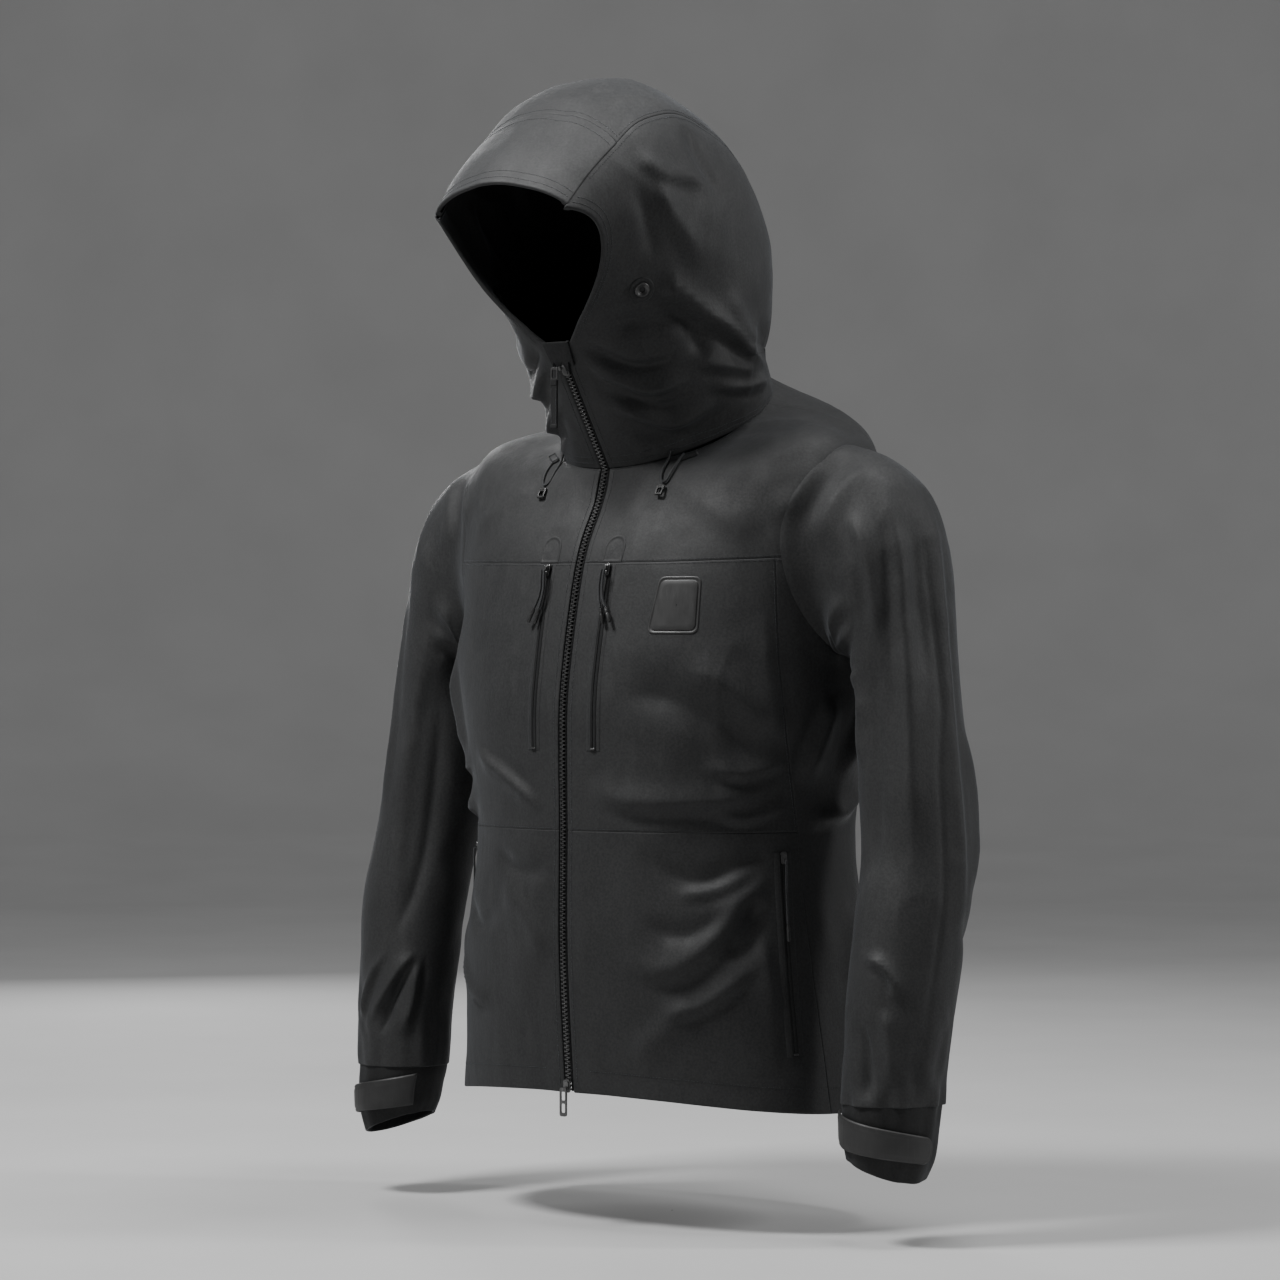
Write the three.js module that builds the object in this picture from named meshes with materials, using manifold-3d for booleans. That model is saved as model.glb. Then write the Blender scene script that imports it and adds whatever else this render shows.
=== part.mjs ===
// A hardshell mountain jacket, hood up and zip closed, as it hangs on an unseen form.
// Millimetres, +Z up. The front faces -Y and the wearer's left side is +X.
import * as THREE from "three";
import { mergeVertices } from "three/addons/utils/BufferGeometryUtils.js";
import Module from "manifold-3d";

const wasm = await Module();
wasm.setup();

// ---- Driving dimensions ----

const FABRIC = 2; // thickness given to the laminate
const MIDDLE_Y = 67.8; // from the middle of the whole depth back to the spine axis
const GAP = 0.5; // space left between neighbouring panels
const HEM_INSET = 4; // how far the hem band lies inside the panels
const ZIP_EDGE = 9; // half the slot between the two front edges

// Rings of the torso from hem to neck. Heights at the front, side and back, half-width, depth to the front
// and to the back, and the squareness of the outline (2 is an ellipse). bow is the power by which the height
// goes from side to front or back, 2 unless given.
const TORSO = [
  { front: 70, side: 54, back: 40, half: 230, fore: 157, aft: 132, square: 2.3 },
  { front: 200, side: 195, back: 190, half: 217, fore: 166, aft: 130, square: 2.3 },
  { front: 325, side: 325, back: 325, half: 206, fore: 166, aft: 124, square: 2.15 },
  { front: 400, side: 400, back: 400, half: 216, fore: 167, aft: 126, square: 2.3 },
  { front: 470, side: 470, back: 470, half: 225, fore: 164, aft: 131, square: 2.4 },
  { front: 585, side: 590, back: 600, half: 226, fore: 141, aft: 136, square: 2.5 },
  { front: 645, side: 703, back: 735, half: 220, fore: 113, aft: 120, square: 2.4 },
  { front: 678, side: 731, back: 790, half: 110, fore: 103, aft: 80, square: 2.05, bow: 1 },
];
const WAIST = 2; // index of the ring at the waist seam
const YOKE = 5; // index of the ring at the yoke seam
const NECK = 7; // index of the ring at the neck seam
const SLOPE_ROWS = 3; // grid rows between two rings of the shoulder slope
const RING_INTERVAL = 110; // mean distance between two rings, in millimetres
const MEAN_RADIUS = 180; // mean distance from the spine axis to the panels
const FOLD_STEP = 0.1; // share of a ring interval over which a fold's normal is taken

// The chin line, where the collar ends and the hood proper begins.
const CHIN = { half: 118, centre: -51, depth: 122, front: 792, back: 802 };
const NAPE_ANGLE = 130; // degrees from the front, where the back arch of the hood stands

// Centre line of the hood from the nape over the crown to the brim's edge, as (y, z).
const CROWN_LINE = [
  [72, 802],
  [64, 880],
  [45, 960],
  [0, 1020],
  [-60, 1050],
  [-112, 1060],
  [-165, 1046],
  [-205, 1014],
  [-243, 980],
  [-272, 947],
];
const HOOD_SEAM = 0.36; // share of the half arch that belongs to the centre panel
const BRIM_START = 0.82; // share of the crown line where the brim's rear seam lies
const HOOD_BULGE = [0, 36, 88]; // side bulge at the nape, the ears and the face opening

// Sleeve sections from armhole to cuff: outer and inner edge as (x, z), centre and half-depth in y.
const ARMHOLE = { x: 240, z: 592, halfHeight: 90, halfDepth: 78 };
const UPPER_SLEEVE = [
  { outer: [229, 703], inner: [229, 497], y: 0, deep: 78 },
  { outer: [262, 690], inner: [241, 491], y: 2, deep: 76 },
  { outer: [298, 660], inner: [249, 482], y: 2, deep: 72 },
  { outer: [320, 610], inner: [252, 468], y: 2, deep: 66 },
  { outer: [332, 545], inner: [252, 448], y: 0, deep: 60 },
  { outer: [343, 470], inner: [252, 425], y: -4, deep: 57 },
  { outer: [356, 400], inner: [256, 380], y: -8, deep: 56 },
  { outer: [371, 319], inner: [262, 319], y: -14, deep: 55 },
];
const LOWER_SLEEVE = [
  { outer: [371, 317], inner: [262, 317], y: -14, deep: 55 },
  { outer: [376, 250], inner: [266, 250], y: -28, deep: 54 },
  { outer: [371, 180], inner: [266, 180], y: -42, deep: 51 },
  { outer: [366, 120], inner: [268, 120], y: -50, deep: 49 },
  { outer: [362, 72], inner: [268, 72], y: -55, deep: 47 },
];
// The cuff's lower edge drops on the outside, over the back of the hand.
const CUFF = [
  { outer: [362, 71.4], inner: [268, 71.4], y: -55, deep: 47 },
  { outer: [361, 45], inner: [270, 54], y: -58, deep: 45 },
  { outer: [358, 20], inner: [272, 38], y: -60, deep: 43 },
  { outer: [351, 0], inner: [276, 26], y: -62, deep: 38 },
];
const SLEEVE_SIDES = 18;
// Angles of the sewn and the free end round the cuff, and heights of the lower and upper edge at each.
const CUFF_TAB = {
  sewn: { angle: -150, low: 34, high: 66 },
  free: { angle: 5, low: 18, high: 42 },
  lift: 1,
  thick: 2.2,
};

const CHEST_ZIP = { x: 38, top: 583, bottom: 403, width: 8 };
const HAND_ZIP = { angle: 68, top: 306, bottom: 111, width: 8 };
const BADGE = { left: 90, right: 142, low: 515, high: 572, taper: 7 };

const POCKET_SLIDER = { width: 6, length: 12, thick: 3 };
const EYELET = { u: 0.86, v: 0.76, hole: 3, disc: 12, lift: 1.6 };
const ADJUSTER = { from: 0.27, to: 0.44, share: 0.1 };
const CHIN_GUARD = { angle: 5.5, from: 0.93, to: 1.06 };

const MAIN_ZIP = { from: 0.01, to: 7.86, tape: 12.5, teeth: 4.5, back: -4.6, front: 0.8, gap: 0.25 };
const MAIN_SLIDER = {
  topLevel: 7.84,
  bottomLevel: 0.05,
  width: 8.5,
  length: 13,
  thick: 2.6,
  lug: { width: 3, length: 4, height: 2, y: 3 },
  topLugX: -3,
};
const TOP_PULL = { x: -7, width: 9, frame: 14, tab: 46, tabWidth: 8, thick: 1.8 };
const PULL_GAP = 1.5; // from a lug to the pull that hangs on it
const BOTTOM_PULL = {
  width: 9,
  length: 28,
  thick: 1.8,
  windows: [
    [0, 6, 5, 9],
    [0, -6, 5, 9],
  ],
};

const CORD = 2.2; // diameter of every cord
const TIP = { radius: 1.8, length: 16 };
// Routes of the wearer's left cords; the right ones mirror them.
const PULL_CORDS = {
  chest_inner: [
    [37, -151.5, 579],
    [36, -153, 570],
    [35.6, -154, 560],
    [37, -155.5, 550],
    [39.5, -156.5, 541],
  ],
  chest_outer: [
    [40.6, -151.5, 579],
    [39.8, -153, 570],
    [39.6, -154, 560],
    [41.5, -155.5, 550],
    [45.5, -156.5, 541.5],
  ],
  hand: [
    [201.3, -71.2, 299],
    [201.6, -71.4, 289],
    [201.4, -71.3, 277],
    [201.8, -71.1, 262],
    [202.7, -71.2, 248],
    [203.6, -71.6, 237],
  ],
};
const HOOD_LOOP = [
  [69, -86.5, 694.5],
  [69.5, -90, 686],
  [70, -98.3, 676],
  [72, -103.5, 667],
  [76, -105.5, 663.5],
  [80, -104, 666],
  [82, -98.5, 675],
  [82.3, -89.5, 684.5],
  [81.5, -80.8, 691.5],
];
const LOOP_END = { at: [76, -109.6, 655.2], width: 9, length: 12, thick: 2.4, lean: 0.53 };
const HANG_LOOP = { width: 64, height: 20, thick: 2, web: 4, y: 68, z: 776 };

const COLOURS = {
  fabric: 0x2b2b2d,
  trim: 0x1d1d1f,
  cord: 0x151516,
  plastic: 0x161617,
  metal: 0x303033,
  rubber: 0x232325,
};

// ---- Solids from surfaces ----

const mix = THREE.MathUtils.lerp;
const radians = THREE.MathUtils.degToRad;

function spread(from, to, steps) {
  return Array.from({ length: steps + 1 }, (_, i) => mix(from, to, i / steps));
}

// A closed geometry from quads and triangles, turned so that its faces point out.
function closedGeometry(points, faces) {
  const geometry = new THREE.BufferGeometry();
  geometry.setAttribute("position", new THREE.Float32BufferAttribute(points.flatMap((p) => p.toArray()), 3));
  geometry.setIndex(faces.flatMap((f) => (f.length === 3 ? f : [f[0], f[1], f[2], f[0], f[2], f[3]])));
  const merged = mergeVertices(geometry, 1e-3);
  const index = [...merged.index.array];
  const kept = [];
  for (let i = 0; i < index.length; i += 3) {
    const [a, b, c] = index.slice(i, i + 3);
    if (a !== b && b !== c && a !== c) kept.push(a, b, c);
  }
  merged.setIndex(kept);
  return signedVolume(merged) < 0 ? merged.setIndex(reversed(kept)) : merged;
}

function reversed(index) {
  const turned = [];
  for (let i = 0; i < index.length; i += 3) turned.push(index[i], index[i + 2], index[i + 1]);
  return turned;
}

function signedVolume(geometry) {
  const position = geometry.attributes.position;
  const index = geometry.index.array;
  const corner = (i) => new THREE.Vector3().fromBufferAttribute(position, index[i]);
  let volume = 0;
  for (let i = 0; i < index.length; i += 3) volume += corner(i).dot(corner(i + 1).cross(corner(i + 2))) / 6;
  return volume;
}

// The outward normal of a surface at (u, v). outward(point, u, v) says roughly which way is out. rowStep is
// the distance in v over which the slope is taken: a long one rounds the fold between two rings.
function normalAt(surface, u, v, outward, rowStep) {
  const step = 1e-3;
  const along = surface(u + step, v).sub(surface(u - step, v));
  const up = surface(u, v + rowStep).sub(surface(u, v - rowStep));
  const normal = along.cross(up).normalize();
  return normal.dot(outward(surface(u, v), u, v)) < 0 ? normal.negate() : normal;
}

// A patch of a surface with thickness, between two offsets along its normal. closed joins the ends of u.
function plate(surface, us, vs, outward, outer, inner, { closed = false, rowStep = 1e-3 } = {}) {
  const wide = us.length;
  const points = [];
  for (const offset of [outer, inner])
    for (const v of vs)
      for (const u of us) {
        const normal = normalAt(surface, u, v, outward, rowStep);
        points.push(surface(u, v).addScaledVector(normal, offset));
      }
  const layer = wide * vs.length;
  const at = (side, i, j) => side * layer + j * wide + (i % wide);
  const faces = [];
  const columns = closed ? wide : wide - 1;
  for (let j = 0; j < vs.length - 1; j += 1)
    for (let i = 0; i < columns; i += 1) {
      faces.push([at(0, i, j), at(0, i + 1, j), at(0, i + 1, j + 1), at(0, i, j + 1)]);
      faces.push([at(1, i, j + 1), at(1, i + 1, j + 1), at(1, i + 1, j), at(1, i, j)]);
    }
  const last = vs.length - 1;
  for (let i = 0; i < columns; i += 1) {
    faces.push([at(0, i, 0), at(1, i, 0), at(1, i + 1, 0), at(0, i + 1, 0)]);
    faces.push([at(0, i, last), at(0, i + 1, last), at(1, i + 1, last), at(1, i, last)]);
  }
  for (let j = 0; j < last && !closed; j += 1) {
    faces.push([at(0, 0, j), at(0, 0, j + 1), at(1, 0, j + 1), at(1, 0, j)]);
    faces.push([at(0, wide - 1, j), at(1, wide - 1, j), at(1, wide - 1, j + 1), at(0, wide - 1, j + 1)]);
  }
  return closedGeometry(points, faces);
}

// A profile of (across, outward) points carried along stations of { at, across, out }.
function strip(stations, profile) {
  const points = stations.flatMap((s) =>
    profile.map(([x, n]) => s.at.clone().addScaledVector(s.across, x).addScaledVector(s.out, n)),
  );
  const count = profile.length;
  const faces = [];
  for (let j = 0; j < stations.length - 1; j += 1)
    for (let i = 0; i < count; i += 1) {
      const next = (i + 1) % count;
      faces.push([j * count + i, j * count + next, (j + 1) * count + next, (j + 1) * count + i]);
    }
  const cap = THREE.ShapeUtils.triangulateShape(profile.map(([x, n]) => new THREE.Vector2(x, n)), []);
  const end = (stations.length - 1) * count;
  for (const [a, b, c] of cap) {
    faces.push([a, c, b]);
    faces.push([a + end, b + end, c + end]);
  }
  return closedGeometry(points, faces);
}

function solidOf(geometry) {
  const plain = geometry.clone();
  plain.deleteAttribute("normal");
  plain.deleteAttribute("uv");
  const merged = mergeVertices(plain, 1e-3);
  return new wasm.Manifold(
    new wasm.Mesh({
      numProp: 3,
      vertProperties: merged.attributes.position.array,
      triVerts: new Uint32Array(merged.index.array),
    }),
  );
}

function geometryOf(solid) {
  const mesh = solid.getMesh();
  const geometry = new THREE.BufferGeometry();
  geometry.setAttribute("position", new THREE.BufferAttribute(mesh.vertProperties, 3));
  geometry.setIndex(new THREE.BufferAttribute(mesh.triVerts, 1));
  return geometry;
}

function joined(...geometries) {
  return geometryOf(geometries.map(solidOf).reduce((a, b) => a.add(b)));
}

function cutFrom(geometry, ...cutters) {
  return geometryOf(cutters.map(solidOf).reduce((a, b) => a.subtract(b), solidOf(geometry)));
}

function material(kind, roughness = 0.85, metalness = 0) {
  return new THREE.MeshStandardMaterial({ color: COLOURS[kind], roughness, metalness });
}

const jacket = new THREE.Group();
jacket.position.y = MIDDLE_Y;

function addPiece(name, geometry, kind, roughness, metalness) {
  const mesh = new THREE.Mesh(geometry, material(kind, roughness, metalness));
  mesh.name = name;
  jacket.add(mesh);
  return mesh;
}

// Both sides of the jacket: side is 1 on the wearer's left and -1 on the right.
const SIDES = [
  ["left", 1],
  ["right", -1],
];

// ---- Torso surface ----

// The torso at an angle in degrees from the front centre and a ring position, 0 at the hem to 7 at the neck.
function torso(angle, level) {
  const index = THREE.MathUtils.clamp(Math.floor(level), 0, TORSO.length - 2);
  return ringPoint(TORSO[index], angle).lerp(ringPoint(TORSO[index + 1], angle), level - index);
}

function ringPoint(ring, angle) {
  const s = Math.sin(radians(angle));
  const c = Math.cos(radians(angle));
  const power = 2 / ring.square;
  const x = ring.half * Math.sign(s) * Math.abs(s) ** power;
  const y = (c > 0 ? -ring.fore : ring.aft) * Math.abs(c) ** power;
  const z = mix(ring.side, c > 0 ? ring.front : ring.back, Math.abs(c) ** (ring.bow ?? 2));
  return new THREE.Vector3(x, y, z);
}

// The angle at which a ring crosses a plane x = distance on the front.
function angleAtX(distance, level) {
  const index = THREE.MathUtils.clamp(Math.floor(level), 0, TORSO.length - 2);
  const share = level - index;
  const half = mix(TORSO[index].half, TORSO[index + 1].half, share);
  const square = mix(TORSO[index].square, TORSO[index + 1].square, share);
  return THREE.MathUtils.radToDeg(Math.asin(Math.min(1, (distance / half) ** (square / 2))));
}

// The ring position of a height along the line at one angle.
function levelAtHeight(angle, z) {
  let low = 0;
  let high = NECK;
  for (let i = 0; i < 30; i += 1) {
    const middle = (low + high) / 2;
    if (torso(angle, middle).z < z) low = middle;
    else high = middle;
  }
  return low;
}

// The point of the front at a distance from the centre plane and a height.
function frontPoint(x, z) {
  let angle = 0;
  for (let i = 0; i < 12; i += 1) angle = angleAtX(Math.abs(x), levelAtHeight(angle, z));
  return torso(Math.sign(x) * angle, levelAtHeight(angle, z));
}

const awayFromSpine = (p) => new THREE.Vector3(p.x, p.y + 5, Math.max(0, p.z - 640) * 2);

// The seam between front and side panels, and the one between side and back panels, in degrees.
function sideSeam(level) {
  if (level <= WAIST) return mix(80, 74, level / WAIST);
  return mix(74, 58, (level - WAIST) / (YOKE - WAIST));
}

function backSeam(level) {
  return level <= YOKE ? 118 : mix(118, 100, (level - YOKE) / (NECK - YOKE));
}

// A torso panel between two angle functions. The panel's u runs from 0 to 1 across it.
function torsoPanel(side, fromAngle, toAngle, fromLevel, toLevel, columns) {
  const edge = GAP / 2 / RING_INTERVAL;
  const surface = (u, level) => {
    const p = torso(mix(fromAngle(level), toAngle(level), u), level);
    return p.set(p.x * side, p.y, p.z);
  };
  const rows = [];
  for (let ring = fromLevel; ring < toLevel; ring += 1) {
    const between = spread(ring, ring + 1, rowsAfter(ring));
    rows.push(...between.slice(0, -1));
  }
  rows.push(toLevel);
  rows[0] += edge;
  rows[rows.length - 1] -= edge;
  return plate(surface, spread(0, 1, columns), rows, awayFromSpine, 0, -FABRIC, { rowStep: FOLD_STEP });
}

function rowsAfter(ring) {
  return ring >= YOKE ? SLOPE_ROWS : 2;
}

// A millimetre allowance turned into degrees at the torso's mean radius.
const seamGap = THREE.MathUtils.radToDeg(GAP / MEAN_RADIUS);
const plus = (seam, amount) => (level) => seam(level) + amount;
const zipEdge = (level) => angleAtX(ZIP_EDGE, level);

function armholeCutter(side) {
  const cylinder = new THREE.CylinderGeometry(1, 1, 200, 32);
  cylinder.rotateZ(Math.PI / 2);
  cylinder.scale(1, ARMHOLE.halfDepth, ARMHOLE.halfHeight);
  cylinder.translate(side * ARMHOLE.x, 0, ARMHOLE.z);
  return cylinder;
}

for (const [name, side] of SIDES) {
  const hole = armholeCutter(side);
  const chest = torsoPanel(side, zipEdge, plus(sideSeam, -seamGap), WAIST, YOKE, 7);
  addPiece(`chest_panel_${name}`, cutFrom(chest, hole), "fabric");
  const lower = torsoPanel(side, zipEdge, plus(sideSeam, -seamGap), 0, WAIST, 7);
  addPiece(`lower_front_${name}`, lower, "fabric");
  const flank = torsoPanel(side, sideSeam, plus(backSeam, -seamGap), 0, YOKE, 4);
  addPiece(`side_panel_${name}`, cutFrom(flank, hole), "fabric");
  const yoke = torsoPanel(side, zipEdge, plus(backSeam, -seamGap), YOKE, NECK, 10);
  addPiece(`yoke_${name}`, cutFrom(yoke, hole), "fabric");
}

function backPanel() {
  const across = (level) => 360 - backSeam(level);
  return torsoPanel(1, backSeam, across, 0, NECK, 10);
}
addPiece("back_panel", cutFrom(backPanel(), armholeCutter(1), armholeCutter(-1)), "fabric");

// The hem band lies inside the lower edge, all the way round from one front edge to the other.
function hemBand() {
  const start = angleAtX(ZIP_EDGE, 0);
  const around = spread(start, 360 - start, 28);
  return plate(torso, around, [0.03, 0.2], awayFromSpine, -FABRIC - HEM_INSET, -FABRIC - HEM_INSET - FABRIC);
}
addPiece("hem_band", hemBand(), "trim");

// ---- Collar and hood ----

// The chin line at an angle from the front centre. Behind the ears it follows the hood's rear arch.
function chinLine(angle) {
  const side = angle > 180 ? -1 : 1;
  const folded = angle > 180 ? 360 - angle : angle;
  if (folded <= NAPE_ANGLE) {
    const p = chinEllipse(folded);
    return p.set(p.x * side, p.y, p.z);
  }
  const share = (folded - NAPE_ANGLE) / (180 - NAPE_ANGLE);
  return hood(side * (1 - share), 0);
}

function chinEllipse(angle) {
  const s = Math.sin(radians(angle));
  const c = Math.cos(radians(angle));
  const z = mix(CHIN.front, CHIN.back, (1 - c) / 2);
  return new THREE.Vector3(CHIN.half * s, CHIN.centre - CHIN.depth * c, z);
}

const crownPoints = CROWN_LINE.map(([y, z]) => new THREE.Vector3(0, y, z));
const crownCurve = new THREE.CatmullRomCurve3(crownPoints, false, "centripetal");

function bulge(v) {
  const [nape, ears, face] = HOOD_BULGE;
  return v < 0.5 ? mix(nape, ears, v * 2) : mix(ears, face, v * 2 - 1);
}

const FOOT_ANGLE_AT_ZIP = 4.5; // degrees from the front, where the face opening meets the zip

// The hood at u from -1 (right foot) over 0 (crown) to 1 (left foot), and v from nape to face opening.
function hood(u, v) {
  const foot = chinEllipse(mix(NAPE_ANGLE, FOOT_ANGLE_AT_ZIP, v));
  const top = crownCurve.getPointAt(THREE.MathUtils.clamp(v, 0, 1));
  const rise = radians(90 * (1 - Math.abs(u)));
  const x = foot.x * Math.cos(rise) + bulge(v) * Math.sin(2 * rise);
  const up = Math.sin(rise);
  return new THREE.Vector3(Math.sign(u) * x, mix(foot.y, top.y, up), mix(foot.z, top.z, up));
}

const hoodCentre = new THREE.Vector3(0, -100, 890);
const awayFromHead = (p) => p.clone().sub(hoodCentre);
const awayFromNeck = (p) => new THREE.Vector3(p.x, p.y + 30, 0);
const COLLAR_FOOT = 0.012;
const COLLAR_TOP = 0.994;
const collarSurface = (angle, t) => torso(angle, NECK).lerp(chinLine(angle), t);

function collar() {
  const start = 6;
  const rows = [COLLAR_FOOT, 0.33, 0.67, COLLAR_TOP];
  return plate(collarSurface, spread(start, 360 - start, 26), rows, awayFromNeck, 0, -FABRIC);
}
addPiece("collar", collar(), "fabric");

const HOOD_FOOT = 0.988; // the side panels stop this share of the way down, just above the collar
const HOOD_START = 0.004;
const HOOD_END = 0.999;
const FACE_CURVE = 0.065; // share of the crown line by which the face opening curves back at the cheeks

function hoodPanel(surface, across, along) {
  return plate(surface, across, along, awayFromHead, 0, -FABRIC);
}

const topRows = spread(HOOD_START, BRIM_START - 0.002, 12);
addPiece("hood_centre", hoodPanel(hood, spread(-HOOD_SEAM, HOOD_SEAM, 6), topRows), "fabric");
const brimRows = spread(BRIM_START, HOOD_END, 3);
addPiece("hood_brim", hoodPanel(hood, spread(-HOOD_SEAM, HOOD_SEAM, 8), brimRows), "fabric");

// The side of the hood: its front edge curves back between the chin and the brim.
function hoodSide(side) {
  return (u, share) => {
    const way = (u - HOOD_SEAM) / (1 - HOOD_SEAM);
    const edge = HOOD_END - FACE_CURVE * Math.sin(Math.PI * THREE.MathUtils.clamp(way, 0, 1));
    return hood(u * side, mix(HOOD_START, edge, share));
  };
}

for (const [name, side] of SIDES) {
  const across = spread(HOOD_SEAM + 0.005, HOOD_FOOT, 7);
  addPiece(`hood_side_${name}`, hoodPanel(hoodSide(side), across, spread(0, 1, 12)), "fabric");
}

// A frame on a surface: the point, its outward normal, the direction across and the one along the piece.
function frameOn(at, ahead, outward) {
  const along = ahead.clone().sub(at).normalize();
  const out = outward.clone().addScaledVector(along, -outward.dot(along)).normalize();
  return { at, along, out, across: along.clone().cross(out) };
}

// Puts a geometry made in its own x, y, z on a frame: x across, y along, z outward.
function placed(geometry, frame, lift = 0) {
  const basis = new THREE.Matrix4().makeBasis(frame.across, frame.along, frame.out);
  const origin = frame.at.clone().addScaledVector(frame.out, lift);
  return geometry.applyMatrix4(basis.setPosition(origin));
}

// The embossed cord eyelets: a disc with a raised ring round its hole.
function eyelet() {
  const profile = [
    [EYELET.hole, 0],
    [EYELET.disc, 0],
    [EYELET.disc, 0.9],
    [EYELET.hole + 2.4, 0.9],
    [EYELET.hole + 1.6, 2],
    [EYELET.hole, 2],
    [EYELET.hole, 0],
  ];
  const ring = new THREE.LatheGeometry(profile.map(([r, h]) => new THREE.Vector2(r, h)), 20);
  return ring.rotateX(Math.PI / 2);
}

for (const [name, side] of SIDES) {
  const { u, v } = EYELET;
  const at = hood(u * side, v);
  const outward = normalAt(hood, u * side, v, awayFromHead, 1e-3);
  const frame = frameOn(at, hood(u * side, v + 0.02), outward);
  addPiece(`hood_eyelet_${name}`, placed(eyelet(), frame, EYELET.lift), "metal", 0.4, 0.8);
}

// The strap of the volume adjuster down the back of the hood.
const strapRows = spread(ADJUSTER.from, ADJUSTER.to, 4);
const strap = plate(hood, [-ADJUSTER.share, 0, ADJUSTER.share], strapRows, awayFromHead, 2.2, 0.7);
addPiece("hood_rear_adjuster", strap, "trim");

const guardRows = [CHIN_GUARD.from, 1, CHIN_GUARD.to];
const guardSurface = (angle, t) => torso(angle, NECK).lerp(chinEllipse(angle), t);
const guardAngles = spread(-CHIN_GUARD.angle, CHIN_GUARD.angle, 4);
const guard = plate(guardSurface, guardAngles, guardRows, awayFromNeck, 2.6, 0.8);
addPiece("chin_guard", guard, "trim");

// ---- Sleeves ----

// A sleeve section at a position in its list: the point at an angle round it, 0 outside and 90 at the back.
function sleevePoint(sections, side, angle, position) {
  const { centre, reach, deep } = sleeveSection(sections, position);
  const c = Math.cos(radians(angle));
  const p = centre.clone().addScaledVector(reach, c);
  p.y += deep * Math.sin(radians(angle));
  return p.set(p.x * side, p.y, p.z);
}

function sleeveSection(sections, position) {
  const index = THREE.MathUtils.clamp(Math.floor(position), 0, sections.length - 2);
  const [a, b] = [sections[index], sections[index + 1]];
  const share = position - index;
  const edge = (key) => {
    const [x, z] = [0, 1].map((k) => mix(a[key][k], b[key][k], share));
    return new THREE.Vector3(x, mix(a.y, b.y, share), z);
  };
  const [outer, inner] = [edge("outer"), edge("inner")];
  const centre = outer.clone().add(inner).multiplyScalar(0.5);
  return { centre, reach: outer.sub(centre), deep: mix(a.deep, b.deep, share) };
}

function sleeveTube(sections, side) {
  const surface = (angle, position) => sleevePoint(sections, side, angle, position);
  const outward = (p, u, v) => {
    const { centre } = sleeveSection(sections, v);
    return p.clone().sub(centre.set(centre.x * side, centre.y, centre.z));
  };
  const around = spread(0, 360, SLEEVE_SIDES).slice(0, -1);
  const rows = sections.map((_, i) => i);
  return plate(surface, around, rows, outward, 0, -FABRIC, { closed: true, rowStep: FOLD_STEP });
}

// The position in the cuff's list of sections at which a height lies, at one angle.
function cuffPosition(angle, z) {
  let [low, high] = [0, CUFF.length - 1];
  for (let i = 0; i < 30; i += 1) {
    const middle = (low + high) / 2;
    if (sleevePoint(CUFF, 1, angle, middle).z > z) low = middle;
    else high = middle;
  }
  return low;
}

// The tab lies round the cuff. It is sewn down at its inner end and slopes down to its free end outside.
function cuffTab(side) {
  const { sewn, free, lift, thick } = CUFF_TAB;
  const angleAt = (u) => mix(sewn.angle, free.angle, u);
  const position = (u, v) => {
    const low = mix(sewn.low, free.low, u);
    const high = mix(sewn.high, free.high, u);
    return cuffPosition(angleAt(u), mix(low, high, v));
  };
  const surface = (u, v) => sleevePoint(CUFF, side, angleAt(u), position(u, v));
  const outward = (p, u, v) => {
    const { centre } = sleeveSection(CUFF, position(u, v));
    return p.clone().sub(centre.set(centre.x * side, centre.y, centre.z));
  };
  return plate(surface, spread(0, 1, 12), [0, 0.5, 1], outward, lift + thick, lift);
}

for (const [name, side] of SIDES) {
  addPiece(`upper_sleeve_${name}`, sleeveTube(UPPER_SLEEVE, side), "fabric");
  addPiece(`lower_sleeve_${name}`, sleeveTube(LOWER_SLEEVE, side), "fabric");
  addPiece(`cuff_${name}`, sleeveTube(CUFF, side), "fabric");
  addPiece(`cuff_tab_${name}`, cuffTab(side), "rubber");
}

// ---- Main zip ----

// The front centre line, from 0 at the hem over 7 at the neck seam to 8 at the chin line.
function frontLine(level) {
  if (level <= NECK) return torso(0, level);
  return torso(0, NECK).lerp(chinEllipse(0), level - NECK);
}

function frontFrame(level) {
  const step = FOLD_STEP / 2;
  const along = frontLine(level + step).sub(frontLine(level - step)).normalize();
  const out = new THREE.Vector3(0, -along.z, along.y);
  return { at: frontLine(level), along, out, across: along.clone().cross(out) };
}

function zipHalf(side) {
  const { tape, teeth, back, front, gap } = MAIN_ZIP;
  const profile = [
    [gap, back],
    [tape, back],
    [tape, back + 1],
    [teeth, back + 1],
    [teeth, front],
    [gap, front],
  ];
  const levels = [MAIN_ZIP.from, 1, 2, 3, 4, 5, 6, 6.5, 7, 7.4, MAIN_ZIP.to];
  const across = new THREE.Vector3(side, 0, 0);
  const stations = levels.map((level) => ({ ...frontFrame(level), across }));
  return strip(stations, profile);
}

for (const [name, side] of SIDES) addPiece(`main_zip_${name}`, zipHalf(side), "plastic", 0.45);

// A flat block with round corners: x wide, y long, z thick from 0 up. Windows are cut through it.
function block(width, length, thick, corner, windows = []) {
  const shape = roundedRectangle(0, 0, width, length, corner);
  for (const [x, y, w, h] of windows) shape.holes.push(roundedRectangle(x, y, w, h, Math.min(w, h) / 4));
  return new THREE.ExtrudeGeometry(shape, { depth: thick, bevelEnabled: false, curveSegments: 2 });
}

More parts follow.
